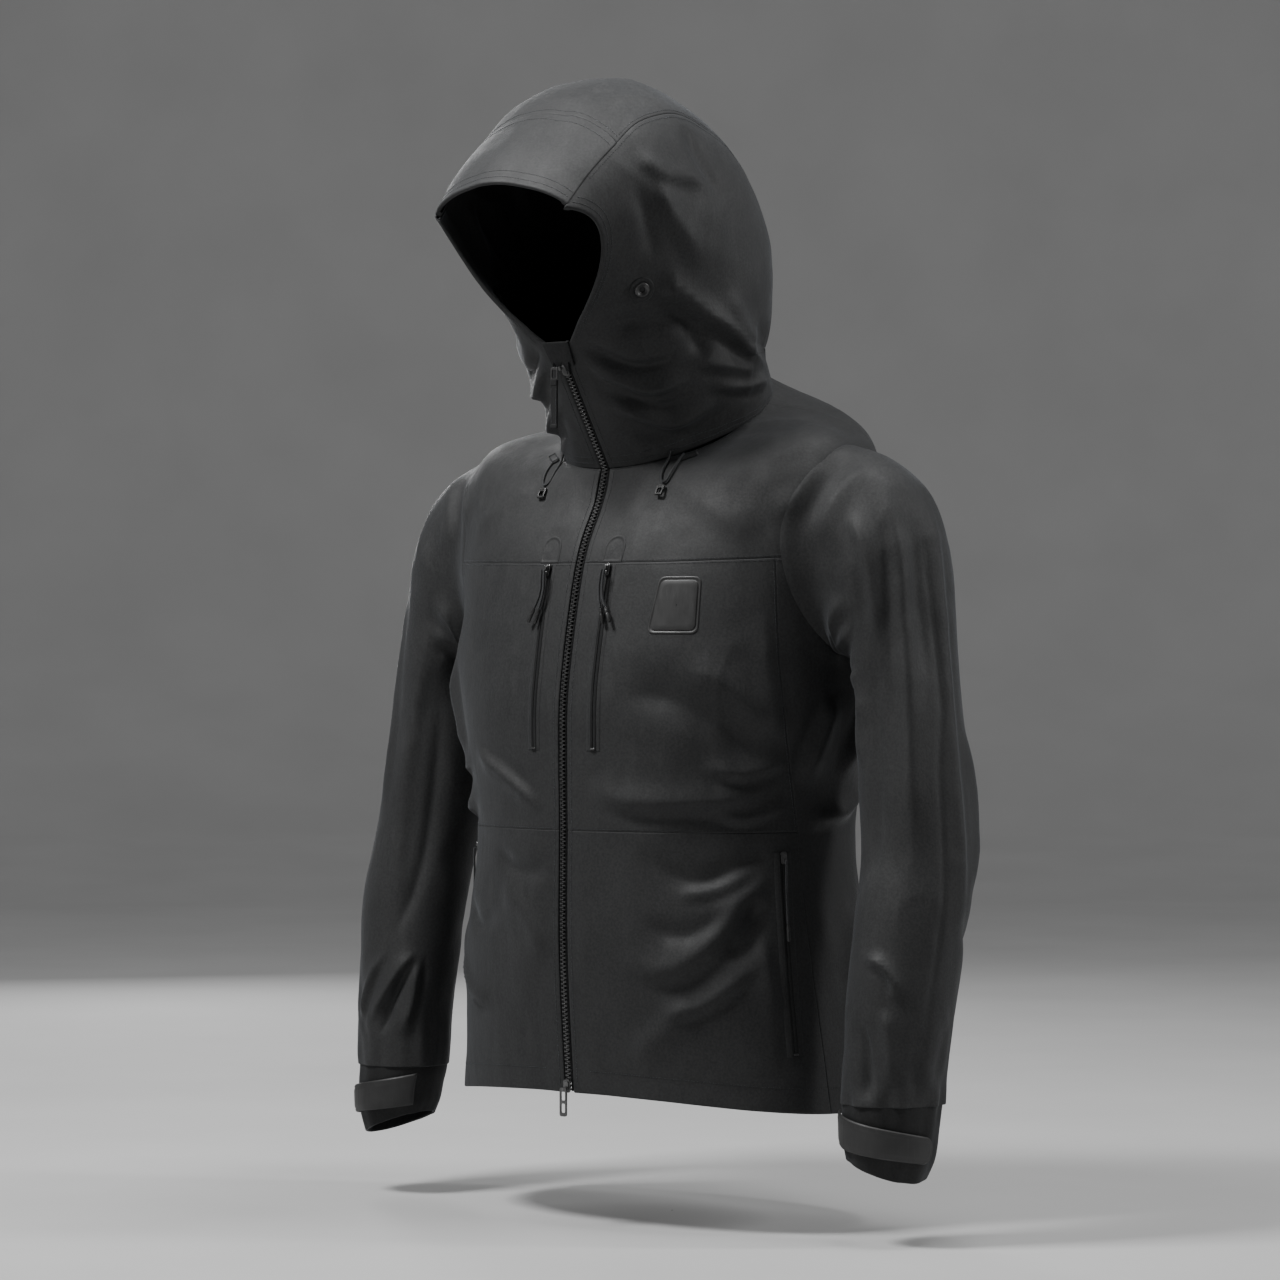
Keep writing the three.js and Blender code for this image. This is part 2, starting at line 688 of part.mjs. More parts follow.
function roundedRectangle(x, y, width, length, corner) {
  const shape = new THREE.Shape();
  const [w, h] = [width / 2 - corner, length / 2 - corner];
  shape.absarc(x + w, y + h, corner, 0, Math.PI / 2);
  shape.absarc(x - w, y + h, corner, Math.PI / 2, Math.PI);
  shape.absarc(x - w, y - h, corner, Math.PI, Math.PI * 1.5);
  shape.absarc(x + w, y - h, corner, Math.PI * 1.5, Math.PI * 2);
  return shape;
}

// The slider's plate lies over the teeth. Its lug stands out of it, where the pull hangs.
function slider(width, length, thick, lug) {
  const body = block(width, length, thick, width / 4);
  const post = block(lug.width, lug.length, lug.height + 0.5, lug.width / 4);
  post.translate(lug.x, lug.y, thick - 0.5);
  return joined(body, post);
}

const topFrame = frontFrame(MAIN_SLIDER.topLevel);
const bottomFrame = frontFrame(MAIN_SLIDER.bottomLevel);
for (const [name, frame, turn] of [
  ["main_slider", topFrame, 1],
  ["bottom_slider", bottomFrame, -1],
]) {
  const { width, length, thick, lug } = MAIN_SLIDER;
  const x = turn > 0 ? MAIN_SLIDER.topLugX : 0;
  const body = slider(width, length, thick, { ...lug, x, y: lug.y * turn });
  addPiece(name, placed(body, frame, MAIN_ZIP.front + 0.6), "metal", 0.35, 0.7);
}

// Pulls hang plumb in front of the lug: x wide, z long, thin in y.
function pullPlate(width, length, thick, windows) {
  const plain = block(width, length, thick, width / 4, windows);
  return plain.rotateX(Math.PI / 2).translate(0, thick / 2, -length / 2);
}

function lugPoint(frame, turn) {
  const { lug, thick } = MAIN_SLIDER;
  const lift = MAIN_ZIP.front + 0.6 + thick + lug.height;
  return frame.at.clone().addScaledVector(frame.along, lug.y * turn).addScaledVector(frame.out, lift);
}

function mainPull() {
  const { width, frame, tab, tabWidth, thick } = TOP_PULL;
  const metal = pullPlate(width, frame, thick, [[0, 0, width - 3.6, frame - 5]]);
  const ribbon = pullPlate(tabWidth, tab + 3, thick + 0.4, []).translate(0, 0, 3 - frame);
  const at = lugPoint(topFrame, 1);
  return joined(metal, ribbon).translate(TOP_PULL.x, at.y - thick / 2 - PULL_GAP, at.z + 2);
}
addPiece("main_pull", mainPull(), "trim");

function bottomPull() {
  const { width, length, thick, windows } = BOTTOM_PULL;
  const at = lugPoint(bottomFrame, -1);
  return pullPlate(width, length, thick, windows).translate(at.x, at.y - thick / 2 - PULL_GAP, at.z + 2);
}
addPiece("bottom_pull", bottomPull(), "metal", 0.35, 0.7);

// ---- Pocket zips ----

function surfaceFrame(angle, z, side) {
  const level = levelAtHeight(angle, z);
  const surface = (a, l) => torso(a * side, l);
  const out = normalAt(surface, angle, level, awayFromSpine, FOLD_STEP);
  return frameOn(surface(angle, level), surface(angle, level + 0.05), out);
}

const chestAngle = (z) => angleAtX(CHEST_ZIP.x, levelAtHeight(0, z));
const handAngle = () => HAND_ZIP.angle;

function pocketZip(zip, angleOf, side) {
  const half = zip.width / 2;
  const profile = [
    [-half, 0.6],
    [half, 0.6],
    [half, 1.7],
    [-half, 1.7],
  ];
  const heights = spread(zip.bottom, zip.top, 6);
  return strip(heights.map((z) => surfaceFrame(angleOf(z), z, side)), profile);
}

const zipKinds = [
  ["chest", CHEST_ZIP, chestAngle],
  ["hand", HAND_ZIP, handAngle],
];
for (const [kind, zip, angleOf] of zipKinds)
  for (const [name, side] of SIDES) {
    addPiece(`${kind}_zip_${name}`, pocketZip(zip, angleOf, side), "plastic", 0.5);
    const z = zip.top - POCKET_SLIDER.length / 2;
    const body = block(POCKET_SLIDER.width, POCKET_SLIDER.length, POCKET_SLIDER.thick, 1.6);
    const frame = surfaceFrame(angleOf(z), z, side);
    addPiece(`${kind}_slider_${name}`, placed(body, frame, 2.1), "metal", 0.35, 0.7);
  }

// ---- Cords ----

// A round cord along hand-placed points.
function cordTube(route, side) {
  const points = route.map(([x, y, z]) => new THREE.Vector3(x * side, y, z));
  const path = new THREE.CatmullRomCurve3(points, false, "centripetal");
  const circle = new THREE.Shape().absarc(0, 0, CORD / 2, 0, Math.PI * 2);
  const steps = Math.max(6, Math.round(path.getLength() / (CORD * 2.5)));
  return new THREE.ExtrudeGeometry(circle, { steps, extrudePath: path, curveSegments: 4 });
}

// A moulded tip: a slim tapered barrel that starts just past the cord's end.
function cordTip(route, side) {
  const [end, before] = [route.at(-1), route.at(-2)].map(([x, y, z]) => new THREE.Vector3(x * side, y, z));
  const along = end.clone().sub(before).normalize();
  const profile = [
    [0, 0.4],
    [1.3, 0.4],
    [TIP.radius, 3],
    [TIP.radius, TIP.length - 2],
    [1.2, TIP.length],
    [0, TIP.length],
  ];
  const barrel = new THREE.LatheGeometry(profile.map(([r, h]) => new THREE.Vector2(r, h)), 10);
  barrel.applyQuaternion(new THREE.Quaternion().setFromUnitVectors(new THREE.Vector3(0, 1, 0), along));
  return barrel.translate(end.x, end.y, end.z);
}

for (const [name, side] of SIDES) {
  for (const [cord, route] of Object.entries(PULL_CORDS)) {
    addPiece(`${cord}_cord_${name}`, cordTube(route, side), "cord");
    addPiece(`${cord}_tip_${name}`, cordTip(route, side), "rubber");
  }
  addPiece(`hood_loop_${name}`, cordTube(HOOD_LOOP, side), "cord");
  const { at, width, length, thick } = LOOP_END;
  const clip = block(width, length, thick, 1.5, [[0, -1, width - 4.4, length - 7]]);
  clip.rotateX(Math.PI / 2 - LOOP_END.lean).translate(at[0] * side, at[1], at[2]);
  addPiece(`hood_loop_end_${name}`, clip, "plastic", 0.5);
}

// ---- Badge and hang loop ----

// A plain trapezoid patch: its outer edge upright, its inner edge slanted.
function badge() {
  const { left, right, low, high, taper } = BADGE;
  const surface = (u, v) => frontPoint(mix(left + taper * v, right - 1.5 * v, u), mix(low, high, v));
  return plate(surface, spread(0, 1, 4), [0, 0.5, 1], awayFromSpine, 2, 0.8);
}
addPiece("badge", badge(), "rubber");

function hangLoop() {
  const { width, height, thick, web, y, z } = HANG_LOOP;
  const ring = block(width, height, thick, 4, [[0, 0, width - 2 * web, height - 2 * web]]);
  return ring.rotateX(Math.PI / 2).translate(0, y, z);
}
addPiece("hang_loop", hangLoop(), "trim");

export default jacket;
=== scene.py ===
"""Looks of a hardshell mountain jacket, hood up and zip closed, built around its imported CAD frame."""

import math

import bpy
import numpy as np
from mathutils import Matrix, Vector


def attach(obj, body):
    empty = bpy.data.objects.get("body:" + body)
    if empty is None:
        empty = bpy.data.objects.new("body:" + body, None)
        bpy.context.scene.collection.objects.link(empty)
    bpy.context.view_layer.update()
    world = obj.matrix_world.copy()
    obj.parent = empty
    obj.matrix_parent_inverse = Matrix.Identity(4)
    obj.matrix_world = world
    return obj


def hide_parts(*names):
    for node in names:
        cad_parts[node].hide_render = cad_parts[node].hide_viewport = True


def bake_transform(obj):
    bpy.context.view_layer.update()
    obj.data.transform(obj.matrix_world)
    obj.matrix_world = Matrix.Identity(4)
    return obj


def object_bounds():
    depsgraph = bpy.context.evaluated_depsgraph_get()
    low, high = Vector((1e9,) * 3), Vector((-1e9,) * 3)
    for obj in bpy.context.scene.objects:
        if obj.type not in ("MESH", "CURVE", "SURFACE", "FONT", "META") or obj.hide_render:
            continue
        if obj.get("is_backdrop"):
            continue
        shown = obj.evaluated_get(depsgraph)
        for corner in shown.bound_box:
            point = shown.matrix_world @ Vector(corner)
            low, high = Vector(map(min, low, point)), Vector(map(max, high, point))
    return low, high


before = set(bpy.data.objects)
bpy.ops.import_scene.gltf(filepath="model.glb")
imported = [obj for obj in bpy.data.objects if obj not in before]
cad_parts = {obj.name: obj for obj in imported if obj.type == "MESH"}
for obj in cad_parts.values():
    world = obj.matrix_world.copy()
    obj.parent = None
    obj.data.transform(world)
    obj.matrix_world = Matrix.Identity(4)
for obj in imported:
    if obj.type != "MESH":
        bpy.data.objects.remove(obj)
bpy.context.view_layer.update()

# ---- Camera ----

AIM = Vector((-0.0245, 0.0472, 0.51))
AZIMUTH = math.radians(40)
DISTANCE = 4.5
camera_data = bpy.data.cameras.new("camera")
camera = bpy.data.objects.new("camera", camera_data)
bpy.context.scene.collection.objects.link(camera)
camera_data.lens = 126.6
camera_data.sensor_width = 36
toward = Vector((math.sin(AZIMUTH), -math.cos(AZIMUTH), 0))
camera.location = AIM + toward * DISTANCE
camera.rotation_euler = (-toward).to_track_quat("-Z", "Y").to_euler()
bpy.context.scene.camera = camera

# ---- Cords, in the frame's metres; the wearer's left, mirrored for the right ----

CORD_ROUTES = {
    "chest_inner": (
        (0.037, -0.0837, 0.579), (0.036, -0.0852, 0.57), (0.0356, -0.0862, 0.56),
        (0.037, -0.0877, 0.55), (0.0395, -0.0887, 0.541),
    ),
    "chest_outer": (
        (0.0406, -0.0837, 0.579), (0.0398, -0.0852, 0.57), (0.0396, -0.0862, 0.56),
        (0.0415, -0.0877, 0.55), (0.0455, -0.0887, 0.5415),
    ),
    "hand": (
        (0.2013, -0.0034, 0.299), (0.2016, -0.0036, 0.289), (0.2014, -0.0035, 0.277),
        (0.2018, -0.0033, 0.262), (0.2027, -0.0034, 0.248), (0.2036, -0.0038, 0.237),
    ),
    "hood_loop": (
        (0.069, -0.0187, 0.6945), (0.0695, -0.0222, 0.686), (0.07, -0.0305, 0.676),
        (0.072, -0.0357, 0.667), (0.076, -0.0377, 0.6635), (0.08, -0.0362, 0.666),
        (0.082, -0.0307, 0.675), (0.0823, -0.0217, 0.6845), (0.0815, -0.013, 0.6915),
    ),
}
CORD_WIDTH = 0.0022
CORD_SIDES = 12
SIDES = (("left", 1), ("right", -1))


def curve_point(a, b, c, d, t):
    """A point between b and c of a smooth curve through a, b, c and d."""
    return 0.5 * (2 * b + (c - a) * t + (2 * a - 5 * b + 4 * c - d) * t**2 + (3 * b - a - 3 * c + d) * t**3)


def with_ends(p):
    """A row of points with one more at each end, in line with the last two."""
    return np.concatenate([2 * p[:1] - p[1:2], p, 2 * p[-1:] - p[-2:-1]])


def ring_faces(rings, sides):
    """Quads between rings of points, each ring closed on itself."""
    faces = []
    for row in range(rings - 1):
        for i in range(sides):
            j = (i + 1) % sides
            faces.append((row * sides + i, row * sides + j, (row + 1) * sides + j, (row + 1) * sides + i))
    return faces


def linked(name, data):
    obj = bpy.data.objects.new(name, data)
    bpy.context.scene.collection.objects.link(obj)
    return obj


def cord(kind, name, side):
    """A free cord as a tube on a smooth curve through its route. Its tip or clip is made further down."""
    route = np.array(CORD_ROUTES[kind]) * (side, 1, 1)
    ends = with_ends(route)
    shares = np.linspace(0, 1, 8, endpoint=False)
    points = [curve_point(*ends[i : i + 4], t) for i in range(len(route) - 1) for t in shares]
    points = np.array([*points, route[-1]])
    mesh = bpy.data.meshes.new(f"{kind}_cord_line_{name}")
    along = np.gradient(points, axis=0)
    along /= np.linalg.norm(along, axis=1, keepdims=True)
    across = np.cross(along, (0.0, 1.0, 0.15))
    across /= np.linalg.norm(across, axis=1, keepdims=True)
    out = np.cross(across, along)
    turn = np.linspace(0, 2 * math.pi, CORD_SIDES, endpoint=False)[:, None]
    round_it = across[:, None] * np.cos(turn) + out[:, None] * np.sin(turn)
    rings = points[:, None] + CORD_WIDTH / 2 * round_it
    faces = ring_faces(len(points), CORD_SIDES)
    last = (len(points) - 1) * CORD_SIDES
    faces += [tuple(range(CORD_SIDES - 1, -1, -1)), tuple(range(last, last + CORD_SIDES))]
    mesh.from_pydata(rings.reshape(-1, 3).tolist(), [], faces)
    mesh.polygons.foreach_set("use_smooth", [True] * len(mesh.polygons))
    layer = mesh.uv_layers.new(name="UVMap")
    for corner, loop_data in zip(layer.data, mesh.loops):
        ring, step = divmod(loop_data.vertex_index, CORD_SIDES)
        corner.uv = (step * 0.0006, ring * 0.0013)
    obj = linked(f"{kind}_cord_line_{name}", mesh)
    loop = kind == "hood_loop"
    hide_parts(f"hood_loop_{name}" if loop else f"{kind}_cord_{name}")
    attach(obj, "root" if loop else f"{kind.split('_')[0]}_slider_{name}")
    return obj, points


CORDS = {(kind, name): cord(kind, name, side) for kind in CORD_ROUTES for name, side in SIDES}

# ---- The jacket's dimensions, in millimetres about the spine axis ----

SPINE_Y = 67.8
# Front, side and back height, half width, depth to the front and back, squareness.
TORSO = (
    (70, 54, 40, 230, 157, 132, 2.3),
    (200, 195, 190, 217, 166, 130, 2.3),
    (325, 325, 325, 206, 166, 124, 2.15),
    (400, 400, 400, 216, 167, 126, 2.3),
    (470, 470, 470, 225, 164, 131, 2.4),
    (585, 590, 600, 226, 141, 136, 2.5),
    (645, 703, 735, 220, 113, 120, 2.4),
    (678, 731, 790, 110, 103, 80, 2.05),
)
WAIST, YOKE, NECK = 2, 5, 7
CHIN_HALF, CHIN_CENTRE, CHIN_DEPTH, CHIN_FRONT, CHIN_BACK = 118, -51, 122, 792, 802
NAPE_ANGLE = 130
CROWN = (
    (72, 802), (64, 880), (45, 960), (0, 1020), (-60, 1050),
    (-112, 1060), (-165, 1046), (-205, 1014), (-243, 980), (-272, 947),
)
CROWN_LENGTH = 470
HOOD_SEAM = 0.36
BRIM_START = 0.82
FOOT_ANGLE_AT_ZIP = 4.5
# Sleeve sections: outer x and z, inner x and z, centre y, half depth.
SLEEVE = (
    (229, 697, 229, 497, 0, 67),
    (262, 687, 241, 491, 2, 67),
    (298, 660, 249, 482, 2, 67),
    (320, 610, 252, 468, 2, 64),
    (332, 545, 252, 448, 0, 60),
    (343, 470, 252, 425, -4, 57),
    (356, 400, 256, 380, -8, 56),
    (371, 318, 262, 318, -14, 55),
    (376, 250, 266, 250, -28, 54),
    (371, 180, 266, 180, -42, 51),
    (366, 120, 268, 120, -50, 49),
    (362, 72, 268, 72, -55, 47),
    (361, 45, 270, 54, -58, 45),
    (358, 20, 272, 38, -60, 43),
    (351, 0, 276, 26, -62, 38),
)
ARM_SPLIT, ELBOW_SPLIT, CUFF_TOP, CUFF_END = 5, 10, 12, 15
ARMHOLE_Z, ARMHOLE_DEPTH, ARMHOLE_HEIGHT = 595, 80, 98
CHEST_ZIP_X, CHEST_ZIP_TOP, CHEST_ZIP_BOTTOM = 38, 583, 403
HAND_ZIP_ANGLE, HAND_ZIP_TOP, HAND_ZIP_BOTTOM = 68, 306, 111


# ---- Surfaces ----

def mix(a, b, t):
    return a + (b - a) * t


def smooth(x, low, high):
    t = np.clip((x - low) / (high - low), 0, 1)
    return t * t * (3 - 2 * t)


def unit(v):
    return v / np.maximum(np.linalg.norm(v, axis=-1, keepdims=True), 1e-9)


def through(rings, position):
    """Points on smooth curves through rings (count, points, 3), at each point's position in 0..count-1."""
    k = np.clip(np.floor(position).astype(int), 0, len(rings) - 2)
    t = (position - k)[:, None]
    rings = with_ends(rings)
    column = np.arange(rings.shape[1])
    return curve_point(*(rings[k + i, column] for i in range(4)), t)


def torso(angle, level):
    """The torso at degrees round from the front and a position along its rings, from hem to neck."""
    a = np.radians(angle)
    s, c = np.sin(a), np.cos(a)
    rings = []
    for index, (front, side, back, half, fore, aft, square) in enumerate(TORSO):
        power = 2 / square
        bow = 1 if index == NECK else 2
        x = half * np.sign(s) * np.abs(s) ** power
        y = np.where(c > 0, -fore, aft) * np.abs(c) ** power
        z = side + (np.where(c > 0, front, back) - side) * np.abs(c) ** bow
        rings.append(np.stack([x, y, z], -1))
    return through(np.stack(rings), level)


def angle_at_x(distance, level):
    """The angle at which the torso lies this far from its middle plane."""
    k = np.clip(np.floor(level).astype(int), 0, 6)
    share = level - k
    half = np.array([r[3] for r in TORSO], float)
    square = np.array([r[6] for r in TORSO], float)
    h = mix(half[k], half[k + 1], share)
    q = mix(square[k], square[k + 1], share)
    return np.degrees(np.arcsin(np.minimum(1, (np.abs(distance) / h) ** (q / 2))))


def level_at_height(angle, z):
    """The torso position at which a height lies, at one angle."""
    low, high = np.zeros_like(z), np.full_like(z, NECK)
    for _ in range(26):
        middle = (low + high) / 2
        below = torso(angle, middle)[:, 2] < z
        low, high = np.where(below, middle, low), np.where(below, high, middle)
    return low


def front_params(x, z):
    """Angle and ring position of points of the front given by x and height."""
    angle = np.zeros_like(z)
    for _ in range(8):
        angle = angle_at_x(x, level_at_height(angle, z))
    return np.sign(x) * angle, level_at_height(angle, z)


def chin_ellipse(angle):
    """The chin line, where collar and hood meet."""
    a = np.radians(angle)
    s, c = np.sin(a), np.cos(a)
    z = mix(CHIN_FRONT, CHIN_BACK, (1 - c) / 2)
    return np.stack([CHIN_HALF * s, CHIN_CENTRE - CHIN_DEPTH * c, z], -1)


def crown_line():
    """The crown curve as dense points with their share of its length."""
    p = with_ends(np.array(CROWN, float))
    t = np.linspace(0, 1, 40, endpoint=False)[:, None]
    found = np.concatenate([curve_point(*p[i : i + 4], t) for i in range(len(p) - 3)] + [p[-2:-1]])
    length = np.concatenate([[0], np.cumsum(np.linalg.norm(np.diff(found, axis=0), axis=1))])
    return length / length[-1], found


CROWN_SHARE, CROWN_POINTS = crown_line()


def hood(u, v):
    """The hood: u is -1 to 1 from side to side over the crown, v is 0 at the nape and 1 at the brim's edge."""
    foot = chin_ellipse(mix(NAPE_ANGLE, FOOT_ANGLE_AT_ZIP, v))
    inside = np.clip(v, 0, 1)
    top_y = np.interp(inside, CROWN_SHARE, CROWN_POINTS[:, 0])
    top_z = np.interp(inside, CROWN_SHARE, CROWN_POINTS[:, 1])
    past_edge = CROWN_LENGTH * (v - inside)
    top_y, top_z = top_y - past_edge * 0.66, top_z - past_edge * 0.75
    rise = np.radians(90 * (1 - np.abs(u)))
    bulge = np.where(v < 0.5, mix(0, 36, v * 2), mix(36, 88, v * 2 - 1))
    x = foot[:, 0] * np.cos(rise) + bulge * np.sin(2 * rise)
    up = np.sin(rise)
    return np.stack([np.sign(u) * x, mix(foot[:, 1], top_y, up), mix(foot[:, 2], top_z, up)], -1)


def collar(angle, t):
    """The collar from the neck seam to the chin line; angle runs from -180 to 180."""
    side, folded = np.sign(angle), np.abs(angle)
    front = chin_ellipse(np.minimum(folded, NAPE_ANGLE))
    back = hood(np.maximum(1 - (folded - NAPE_ANGLE) / (180 - NAPE_ANGLE), 1e-6), np.zeros_like(t))
    top = np.where((folded <= NAPE_ANGLE)[:, None], front, back)
    top[:, 0] *= np.where(side < 0, -1, 1)
    foot = torso(angle, np.full_like(t, float(NECK)))
    return mix(foot, top, t[:, None])


def armhole(y, z):
    """Points of the torso's side at a depth and height, where the sleeve is sewn on."""
    rings = np.array(TORSO, float)
    level = 5 + (z - 592) / 105
    for _ in range(12):
        k = np.clip(np.floor(level).astype(int), 0, 6)
        share = level - k
        fore, aft, square = (mix(rings[k, i], rings[k + 1, i], share) for i in (4, 5, 6))
        c = -np.sign(y) * (np.abs(y) / np.where(y < 0, fore, aft)) ** (square / 2)
        p = torso(np.degrees(np.arccos(np.clip(c, -1, 1))), level)
        level = level + (z - p[:, 2]) / 125
    return p


def sleeve(side):
    """The whole sleeve, from the armhole seam on the torso to the cuff's lower edge."""

    def surface(angle, position):
        a = np.radians(angle)
        s, c = np.sin(a), np.cos(a)
        rings = [armhole(ARMHOLE_DEPTH * s, ARMHOLE_Z + ARMHOLE_HEIGHT * c)]
        for outer_x, outer_z, inner_x, inner_z, y, deep in SLEEVE:
            x = (outer_x + inner_x) / 2 + (outer_x - inner_x) / 2 * c
            z = (outer_z + inner_z) / 2 + (outer_z - inner_z) / 2 * c
            rings.append(np.stack([x, y + deep * s, z], -1))
        found = through(np.stack(rings), position)
        found[:, 0] *= side
        return found

    return surface


# ---- Relief: folds, creases and the slight unevenness of cloth ----

def lattice(cell, seed):
    """A repeatable value from -1 to 1 for each lattice cell."""
    h = cell[:, 0] * 374761393 + cell[:, 1] * 668265263 + cell[:, 2] * 974634777 + seed * 1274126177
    h &= 0x7FFFFFFF
    h = ((h ^ (h >> 13)) * 1274126177) & 0x7FFFFFFF
    return ((h ^ (h >> 16)) & 0xFFFFFF) / 0x7FFFFF - 1


def noise(p, seed):
    """Smooth noise from about -1 to 1 at each point, with cells one unit wide."""
    cell = np.floor(p).astype(np.int64)
    f = p - cell
    w = f * f * f * (f * (f * 6 - 15) + 10)
    total = np.zeros(len(p))
    for corner in np.ndindex(2, 2, 2):
        weight = np.prod(np.where(np.array(corner) == 1, w, 1 - w), axis=1)
        total += weight * lattice(cell + np.array(corner), seed)
    return total


def ridges(p, seed):
    """Noise whose high places are narrow ridges, as creases are: 0 to 1."""
    return (1 - np.abs(noise(p, seed))) ** 3


def nearest(points, path):
    """Distance to a polyline, the share of the way along it, and the vector from it, for each point."""
    best = np.full(len(points), 1e9)
    share, offset = np.zeros(len(points)), np.zeros_like(points)
    along = np.zeros_like(points)
    for i in range(len(path) - 1):
        a, d = path[i], path[i + 1] - path[i]
        t = np.clip((points - a) @ d / max(d @ d, 1e-9), 0, 1)
        v = points - (a + t[:, None] * d)
        distance = np.linalg.norm(v, axis=1)
        closer = distance < best
        best[closer] = distance[closer]
        share[closer] = (i + t[closer]) / (len(path) - 1)
        offset[closer] = v[closer]
        along[closer] = d / max(np.linalg.norm(d), 1e-9)
    return best, share, offset, along


FOLDS = []
CALM = []
FOLD_POINTS = 14


def bend(points):
    """A smooth curve through a few parameter pairs, as more pairs."""
    p = np.array(points, float)
    k = np.linspace(0, len(p) - 1, FOLD_POINTS)
    return through(p[:, None, :].repeat(FOLD_POINTS, 1), k)


def fold(surface, points, height, width, lean):
    """Lays a fold along points given in a surface's own parameters. A lean makes one flank steeper."""
    line = bend([(a, b, 0) for a, b in points])
    FOLDS.append((surface(line[:, 0], line[:, 1]), height, width, lean))


def calm(surface, points, radius, kept):
    """Keeps the cloth flat around a line, as a zip or patch does."""
    line = bend([(a, b, 0) for a, b in points])
    CALM.append((surface(line[:, 0], line[:, 1]), radius, kept))


def near_path(points, path, reach):
    return ((points > path.min(0) - reach) & (points < path.max(0) + reach)).all(1)


def relief(points, normals):
    """The height of the cloth above its smooth surface: laid folds, then broad to fine unevenness."""
    height = np.zeros(len(points))
    for path, tall, width, lean in FOLDS:
        close = near_path(points, path, 3.2 * width)
        if not close.any():
            continue
        distance, share, offset, along = nearest(points[close], path)
        side = np.sign(np.einsum("ij,ij->i", np.cross(along, normals[close]), offset))
        flank = width * np.where(side > 0, 1 - 0.55 * lean, 1 + 0.55 * lean)
        taper = smooth(share, -0.02, 0.3) * smooth(-share, -1.02, -0.7)
        ridge = np.exp(-((distance / flank) ** 1.6))
        beside = side * np.sign(lean) * distance / width
        valley = 0.4 * abs(lean) * np.exp(-((beside - 1.25) / 0.55) ** 2)
        height[close] += tall * taper * (ridge - valley)
    p = points.copy()
    warp = np.stack([noise(p / 90, 11), noise(p / 90, 12), noise(p / 90, 13)], -1)
    p = p + 28 * warp
    height += 2.4 * noise(p / 130, 1) + 1.0 * noise(p / 60, 2)
    long = p / np.array([50, 50, 110.0])
    crumpled = mix(1.2, 2.4, smooth(points[:, 2], 700, 800)) * (ridges(long, 3) - 0.3)
    height += crumpled * smooth(noise(p / 150, 4), -0.1, 0.5)
    height += 0.4 * noise(p / 22, 5)
    keep = np.ones(len(points))
    for path, radius, kept in CALM:
        close = near_path(points, path, 2.5 * radius)
        if close.any():
            distance = nearest(points[close], path)[0]
            keep[close] *= 1 - (1 - kept) * np.exp(-((distance / radius) ** 4))
    front = points[:, 1] < 0
    keep = np.where(front, keep * mix(0.1, 1, smooth(np.abs(points[:, 0]), 10, 34)), keep)
    return height * keep


class Cloth:
    """A surface with its relief. probe is (u, v, direction): there the surface faces that way."""

    def __init__(self, surface, probe, lift=0.0, steps=(0.05, 0.004)):
        self.surface, self.lift, self.steps = surface, lift, steps
        self.sign = 1.0
        u, v, direction = probe
        facing = self.base(np.array([float(u)]), np.array([float(v)]))[1][0] @ np.array(direction, float)
        self.sign = 1.0 if facing > 0 else -1.0

    def base(self, u, v):
        step_u, step_v = self.steps
        p = self.surface(u, v)
        across = self.surface(u + step_u, v) - self.surface(u - step_u, v)
        up = self.surface(u, v + step_v) - self.surface(u, v - step_v)
        return p, unit(np.cross(across, up)) * self.sign

    def at(self, u, v, lift=0.0, extra=0.0):
        """Points and normals of the cloth at grids of parameters. extra is height added to the relief."""
        u, v = np.broadcast_arrays(np.asarray(u, float), np.asarray(v, float))
        shape = u.shape
        p, n = self.base(u.ravel(), v.ravel())
        h = relief(p, n) + self.lift + lift + np.broadcast_to(extra, shape).ravel()
        return (p + n * h[:, None]).reshape(*shape, 3), n.reshape(*shape, 3)


# ---- Meshes ----

def metres(points):
    """Millimetres about the spine axis to metres in the frame."""
    return (np.asarray(points, float) + (0, SPINE_Y, 0)) * 0.001


def new_object(name, data, body, material, nodes=(), blend=None, flat=None):
    """A finished piece: on one body, or, given a blend, left in place on no body; flat is not used."""
    obj = linked(name, data)
    data.materials.append(material)
    if nodes:
        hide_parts(*nodes)
    if blend:
        body_a, body_b, start, end = blend
        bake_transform(obj)
        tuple(start)
        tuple(end)
    else:
        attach(obj, body)
    return obj


def mesh_of(name, points, faces, uvs=None, normals=None):
    """A mesh from points in millimetres. uvs and normals hold one entry for each point."""
    mesh = bpy.data.meshes.new(name)
    mesh.from_pydata(metres(points).tolist(), [], [list(map(int, f)) for f in faces])
    mesh.polygons.foreach_set("use_smooth", [True] * len(mesh.polygons))
    if uvs is not None:
        layer = mesh.uv_layers.new(name="UVMap")
        corner = np.zeros(len(mesh.loops), int)
        mesh.loops.foreach_get("vertex_index", corner)
        layer.data.foreach_set("uv", np.asarray(uvs, float)[corner].ravel())
    if normals is not None:
        mesh.normals_split_custom_set_from_vertices(normals.tolist())
    return mesh


def grid_faces(rows, columns, flip):
    j, i = np.meshgrid(np.arange(rows - 1), np.arange(columns - 1), indexing="ij")
    a = (j * columns + i).ravel()
    quads = np.stack([a, a + 1, a + columns + 1, a + columns], -1)
    return quads[:, ::-1] if flip else quads


def grid_normals(P, outward):
    n = unit(np.cross(np.gradient(P, axis=1), np.gradient(P, axis=0)))
    return n * np.sign((n * outward).sum())


def turned(A, edge):
    """A grid with the named edge brought to row 0."""
    return {"v0": A, "v1": A[::-1], "u0": A.swapaxes(0, 1), "u1": A[:, ::-1].swapaxes(0, 1)}[edge]


